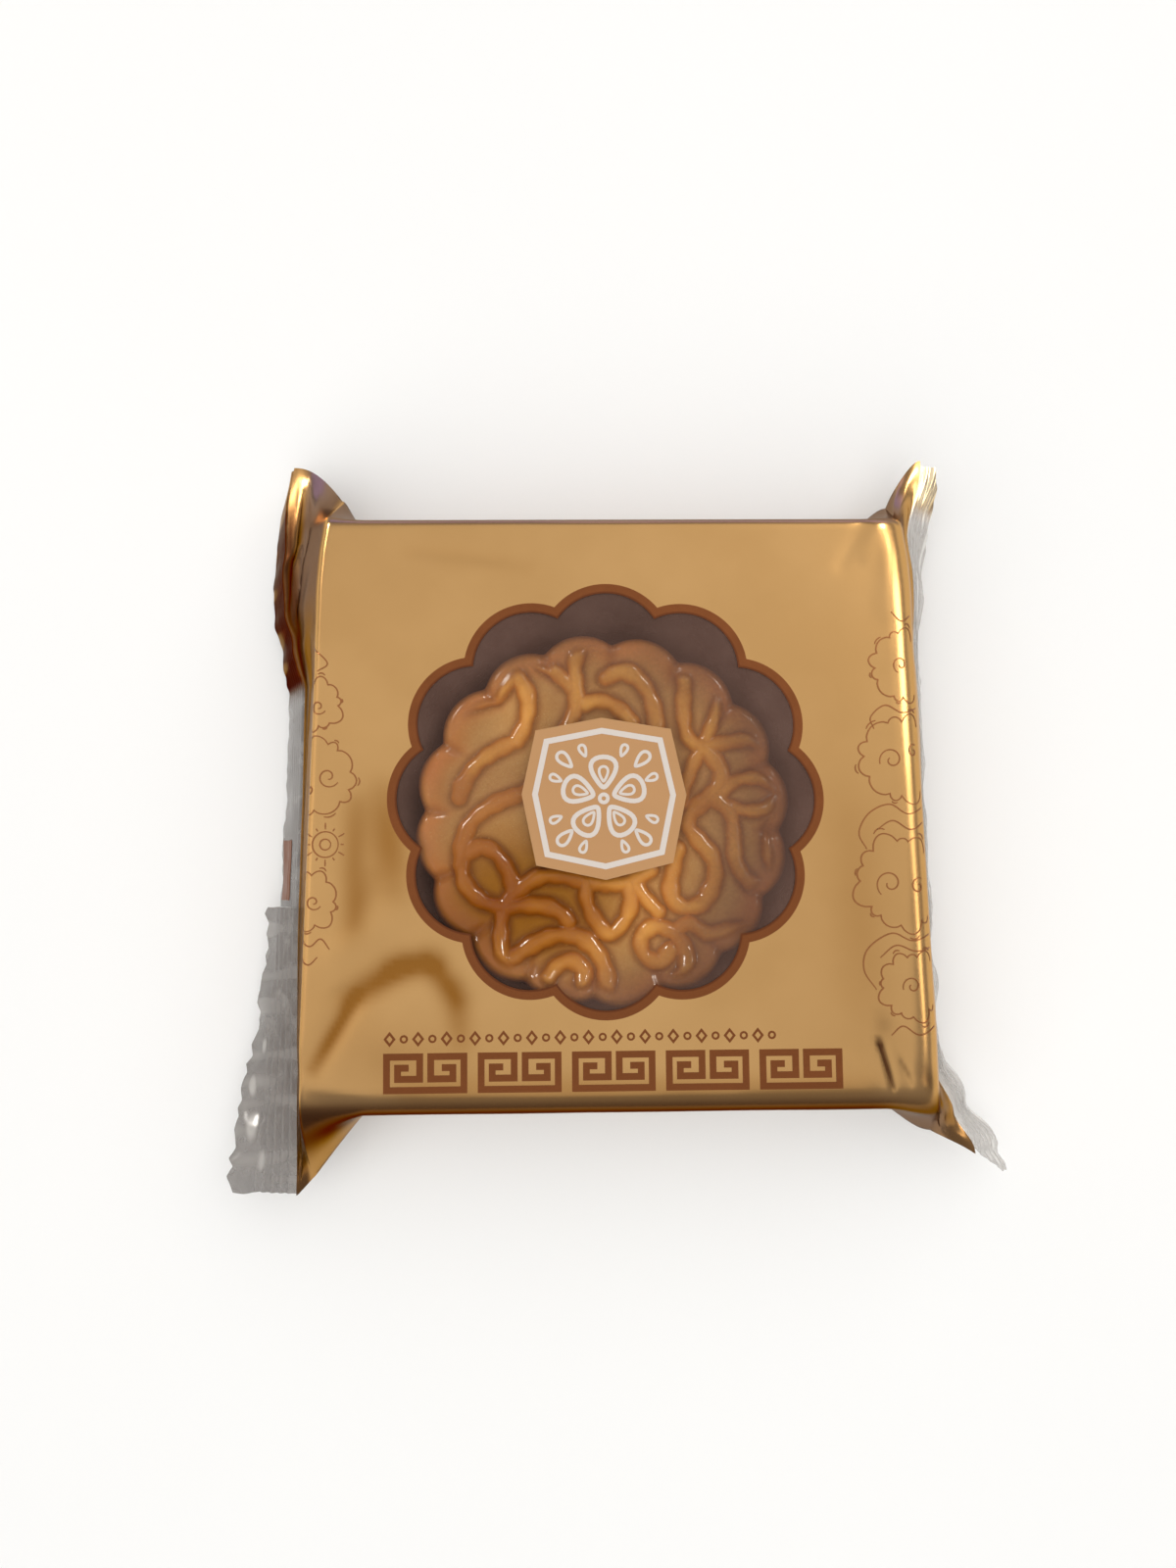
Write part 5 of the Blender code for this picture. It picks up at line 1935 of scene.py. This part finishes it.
    def build(self) -> bpy.types.Object:
        """Models the cake ring by ring and presses the relief into its top."""
        rings = self.rings()
        cake, ring, turn = ringed_tube("mooncake_baked", self.around, len(rings))
        angle = turn / self.around * 2 * math.pi
        share, inset, height = rings[ring].T
        radius = (self.outline(angle) - inset) * share
        x = self.centre[0] + radius * np.cos(angle)
        y = self.centre[1] + radius * np.sin(angle)
        depth_in = self.outline(angle) - radius
        on_top = height == 0.0
        high, near = self.relief(x, y)
        from_circle = self.lobe_out + self.lobe_radius - 0.7 - radius
        inner = smooth_step(self.shoulder * 0.9, self.rim_width, depth_in)
        half = math.pi / self.lobes
        aside = np.abs(np.mod(angle - math.radians(self.first_cusp) + half, 2 * half) - half) * radius
        groove = np.exp(-((aside / 0.75) ** 2)) * smooth_step(5.0, 1.6, depth_in) * smooth_step(0.0, 0.9, depth_in)
        ground = self.top_height(depth_in, from_circle) + 0.07 * ripple(x, y, 7.0, 6.0) * inner - 0.42 * groove
        skirt = 0.13 * np.exp(-((np.maximum(near, 0) / 0.7) ** 2))
        level = ground + self.ridge_height * np.maximum(high, skirt) * inner
        z = np.where(on_top, level + 0.05 * ripple(x, y, 12.0, 9.0), height)
        place(cake, np.stack([x, y, z], axis=1) * MM)
        blotch = 0.5 + 0.5 * ripple(x, y, 9.0, 3.0)
        cling = np.exp(-(((x + 13.0) / 14.5) ** 2 + ((y + 12.5) / 10.0) ** 2) ** 2)
        # Painted shade: darker towards the right and the outer edge, where the film shades the cake, except where it
        # clings.
        dim = smooth_step(19.0, 30.0, np.hypot(x + 5.0, 0.85 * (y - 2.0))) * (0.2 + 0.8 * smooth_step(-16.0, 4.0, x)) * (1 - cling)
        rim = smooth_step(5.4, 1.4, depth_in) * (0.55 + 0.4 * blotch)
        mark(cake, "crest", np.where(on_top, np.clip(high, 0, 1) * inner, 0.0))
        # Painted shade at the ridges' feet and in the grooves from the cusps.
        mark(cake, "foot", np.where(on_top, 0.72 * np.exp(-((np.maximum(near, 0) / 0.55) ** 2)) * inner + 0.5 * groove, 0.0).clip(0, 1))
        mark(cake, "rim", np.where(on_top, np.clip(rim, 0, 1), 0.5))
        mark(cake, "flank", np.where(on_top, 0.9 * (1 - smooth_step(0.1, 1.1, depth_in)), 0.9))
        # Darker and more saturated towards the lower left, where the film clings.
        mark(cake, "lower_left_dark", np.where(on_top, cling, 0.0))
        # Painted shade; the sides take a fixed share.
        mark(cake, "dim", np.where(on_top, dim, 0.3))
        browner = 0.6 * smooth_step(-9.0, -15.0, x) * (1 - smooth_step(3.0, 9.0, y)) * smooth_step(-17.0, -12.0, y)
        blotch = blotch * smooth_step(1.0, 3.5, depth_in) * (1 - 0.4 * cling) * (1 - 0.7 * smooth_step(7.0, 11.0, y))
        mark(cake, "warm", np.clip(0.12 + 0.7 * blotch + browner, 0, 1))
        merge_close(cake)
        soften(cake, 80)
        return cake

    def dress(self, cake: bpy.types.Object) -> None:
        """Gives the cake its baked crust."""
        dress(cake, BakedCrust().material(), Slot.CRUST, "mooncake")


# -------------------------------------------------------------------- studio


@dataclass
class Studio:
    """Pale floor, soft lights and the camera."""

    eye: tuple = (-7.4, -8.9, 180.6)
    tilt: tuple = (4.5, -1.2, -0.5)
    lens: float = 27.0
    sensor: float = 36.0

    def lamp(
        self, name: str, where: tuple, size: tuple, glow: float, colour: tuple = (1, 1, 1),
        shines: bool = True, lights: bool = True,
    ) -> bpy.types.Object:
        """Adds a soft lamp that faces the pack.

        Args:
            name: The lamp's name.
            where: Its place, in metres.
            size: Its width and height, in metres.
            glow: Its brightness, in watts per square metre and steradian.
            colour: Its colour.
            shines: Whether it shows in glossy surfaces.
            lights: Whether it lights matt surfaces.

        Returns:
            The lamp.
        """
        clear_choice()
        bpy.ops.object.light_add(type="AREA", location=where)
        lamp = bpy.context.object
        lamp.name = lamp.data.name = name
        lamp.data.shape = "RECTANGLE"
        lamp.data.size, lamp.data.size_y = size
        lamp.data.energy = glow * math.pi * size[0] * size[1]
        lamp.data.color = colour
        away = lamp.location.copy()
        lamp.rotation_euler = away.to_track_quat("Z", "Y").to_euler()
        lamp.visible_camera = False
        lamp.visible_glossy = shines
        lamp.visible_diffuse = lights
        return lamp

    def daylight(self, name: str, tilt: Point, strength: float) -> None:
        """Adds even, soft light from far away.

        Args:
            name: The lamp's name.
            tilt: How far it leans about X and Y, in radians.
            strength: Its light on the floor, in watts per square metre.
        """
        clear_choice()
        bpy.ops.object.light_add(type="SUN", rotation=(*tilt, 0.0))
        lamp = bpy.context.object
        lamp.name = lamp.data.name = name
        lamp.data.energy = strength
        lamp.data.angle = math.radians(75)
        lamp.visible_glossy = False

    def build(self) -> None:
        """Sets up floor, lamps, surroundings and camera."""
        clear_choice()
        bpy.ops.mesh.primitive_plane_add(size=6.0, location=(0, 0, -0.0002))
        floor = new_piece("studio_floor")
        floor.data.materials.append(StudioPaper().material())
        self.lamp("overhead_soft", (0.05, 0.05, 0.9), (0.92, 1.0), 0.53, (1.0, 1.0, 0.97))
        self.lamp("spark_right", (0.44, 0.40, 0.52), (0.12, 0.12), 75.0, (1.0, 0.95, 0.86), lights=False)
        self.lamp("spark_left", (-0.54, 0.46, 0.42), (0.16, 0.16), 70.0, (1.0, 0.95, 0.88), lights=False)
        self.lamp("violet_back", (0.15, 0.95, 0.22), (1.2, 0.4), 1.3, (0.48, 0.42, 1.0), lights=False)
        self.lamp("right_panel", (0.755, 0.185, 0.49), (0.15, 0.34), 9.0, (1.0, 0.98, 0.92), lights=False)
        self.lamp("right_panel_low", (0.755, -0.06, 0.49), (0.15, 0.15), 4.5, (1.0, 0.94, 0.82), lights=False)
        self.lamp("left_panel", (-0.78, 0.0, 0.58), (0.46, 1.2), 0.75, (1.0, 0.95, 0.88), lights=False)
        self.daylight("soft_front", (0.45, -0.35), 1.9)
        self.daylight("soft_back", (-0.5, 0.3), 1.3)
        self.surround()
        self.camera()
        bpy.context.scene.view_settings.view_transform = "Standard"
        bpy.context.scene.view_settings.look = "None"

    def surround(self) -> None:
        """A pale backdrop to the eye and dim surroundings to the lamps' eye."""
        world = bpy.data.worlds.new("surroundings")
        bpy.context.scene.world = world
        world.use_nodes = True
        tree = world.node_tree
        tree.nodes.clear()
        ray = add_node(tree, "LightPath")
        dim = add_node(tree, "Background", {"Color": (0.62, 0.58, 0.55), "Strength": 0.24})
        mirrored = add_node(tree, "Background", {"Color": (0.54, 0.54, 0.64), "Strength": 0.60})
        pale = add_node(tree, "Background", {"Color": (0.93, 0.93, 0.92), "Strength": 1.0})
        unseen = add_node(tree, "MixShader", {0: ray.outputs["Is Glossy Ray"], 1: dim.outputs[0], 2: mirrored.outputs[0]})
        both = add_node(tree, "MixShader", {0: ray.outputs["Is Camera Ray"], 1: unseen.outputs[0], 2: pale.outputs[0]})
        tree.links.new(both.outputs[0], tree.nodes.new("ShaderNodeOutputWorld").inputs["Surface"])

    def camera(self) -> None:
        """The camera above the pack, a little towards its front left."""
        clear_choice()
        bpy.ops.object.camera_add(
            location=tuple(v * MM for v in self.eye), rotation=tuple(math.radians(a) for a in self.tilt)
        )
        camera = bpy.context.object
        camera.name = camera.data.name = "studio_camera"
        camera.data.sensor_fit = "VERTICAL"
        camera.data.sensor_height = self.sensor
        camera.data.lens = self.lens
        camera.data.clip_start = 0.01
        bpy.context.scene.camera = camera


# ---------------------------------------------------------------------- build


def main() -> None:
    """Builds the studio and every piece in order, and reports each."""
    logging.basicConfig(level=logging.INFO, format="%(name)s: %(message)s", stream=sys.stdout)
    Studio().build()
    shape = FilmShape()
    wrapper = FilmWrapper(shape)
    pane = WindowPane(shape, wrapper)
    printer = Printer(shape)
    brown = Ink("brown_ink", (0.215, 0.068, 0.018), (0.110, 0.030, 0.009)).material()
    line_ink = Ink("line_ink", (0.290, 0.110, 0.032), (0.200, 0.066, 0.020), 0.36, 0.7).material()
    white = Ink("white_ink", (0.62, 0.55, 0.49), (0.54, 0.46, 0.39), 0.5, 0.0).material()
    cake = Mooncake()
    cake.dress(cake.build())
    tray = Tray()
    tray.dress(tray.build())
    wrapper.dress(wrapper.build())
    pane.dress(pane.build())
    dress(WindowRing(printer, wrapper).build(), brown, Slot.BROWN)
    dress(KeyBand(printer).build(), brown, Slot.BROWN)
    dress(CloudLines(printer).build(), line_ink, Slot.BROWN)
    badge = Badge(printer, pane)
    dress(badge.build_plate(), BadgeGold().material(), Slot.GOLD)
    dress(badge.build_white(), white, Slot.WHITE)
    milky = MilkyFilm().material()
    hanging = Table(((52, 76), (46, 71), (38, 68), (25, 68), (18, 65), (0, 64), (-13, 63)))
    open_fin = Table(((-12, 50), (-20, 48), (-28, 43), (-36, 34), (-45, 20), (-53, 9)))
    right_droop = Table(((52, 12), (44, 42), (36, 62), (28, 70), (0, 69), (-25, 69), (-35, 68), (-42, 58), (-52, 40)))
    folded = CrimpSeal(
        "seal_fold_left", shape, Side.LEFT, hanging, Table(((52, 0.1), (-13, 0.3))), Table(((52, 9.9), (-13, 9.9))),
        16.5, front=-13.0, back=50.7, rows=220,
    )
    fin = CrimpSeal(
        "seal_fin_left", shape, Side.LEFT, open_fin, Table(((-12, 0.7), (-35, 1.1), (-52, 1.4))),
        Table(((-12, 9.6), (-35, 10.4), (-53, 10.9))), 60.0, front=-52.7, back=-13.0, rows=160,
    )
    right = CrimpSeal(
        "seal_right_sheet", shape, Side.RIGHT, right_droop, Table(((52, 0.4), (0, 0.5), (-52, 0.9))),
        Table(((52, 2.6), (44, 5.4), (36, 9.0), (0, 9.4), (-36, 9.4), (-46, 8.0), (-52, 6.6))), 43.0, front=-51.8,
        tail=4.8, whiteness=0.05,
    )
    sheer = MilkyFilm(
        "sheer_seal_film", (0.42, 0.385, 0.345), (0.86, 0.84, 0.80), (0.60, 0.40, 0.19), (0.90, 0.74, 0.48),
        (0.86, 0.76, 0.60), 0.04, 0.40, 0.78
    ).material()
    for seal, finish in ((folded, milky), (fin, milky), (right, sheer)):
        seal.dress(seal.build(), finish)
    dress(folded.build_mark(-12.0, -3.2, 4.6, 9.0), brown, Slot.BROWN)
    seam = BackSeam(shape)
    dress(seam.build(), bpy.data.materials["gold_foil"], Slot.GOLD)


if __name__ == "__main__":
    main()
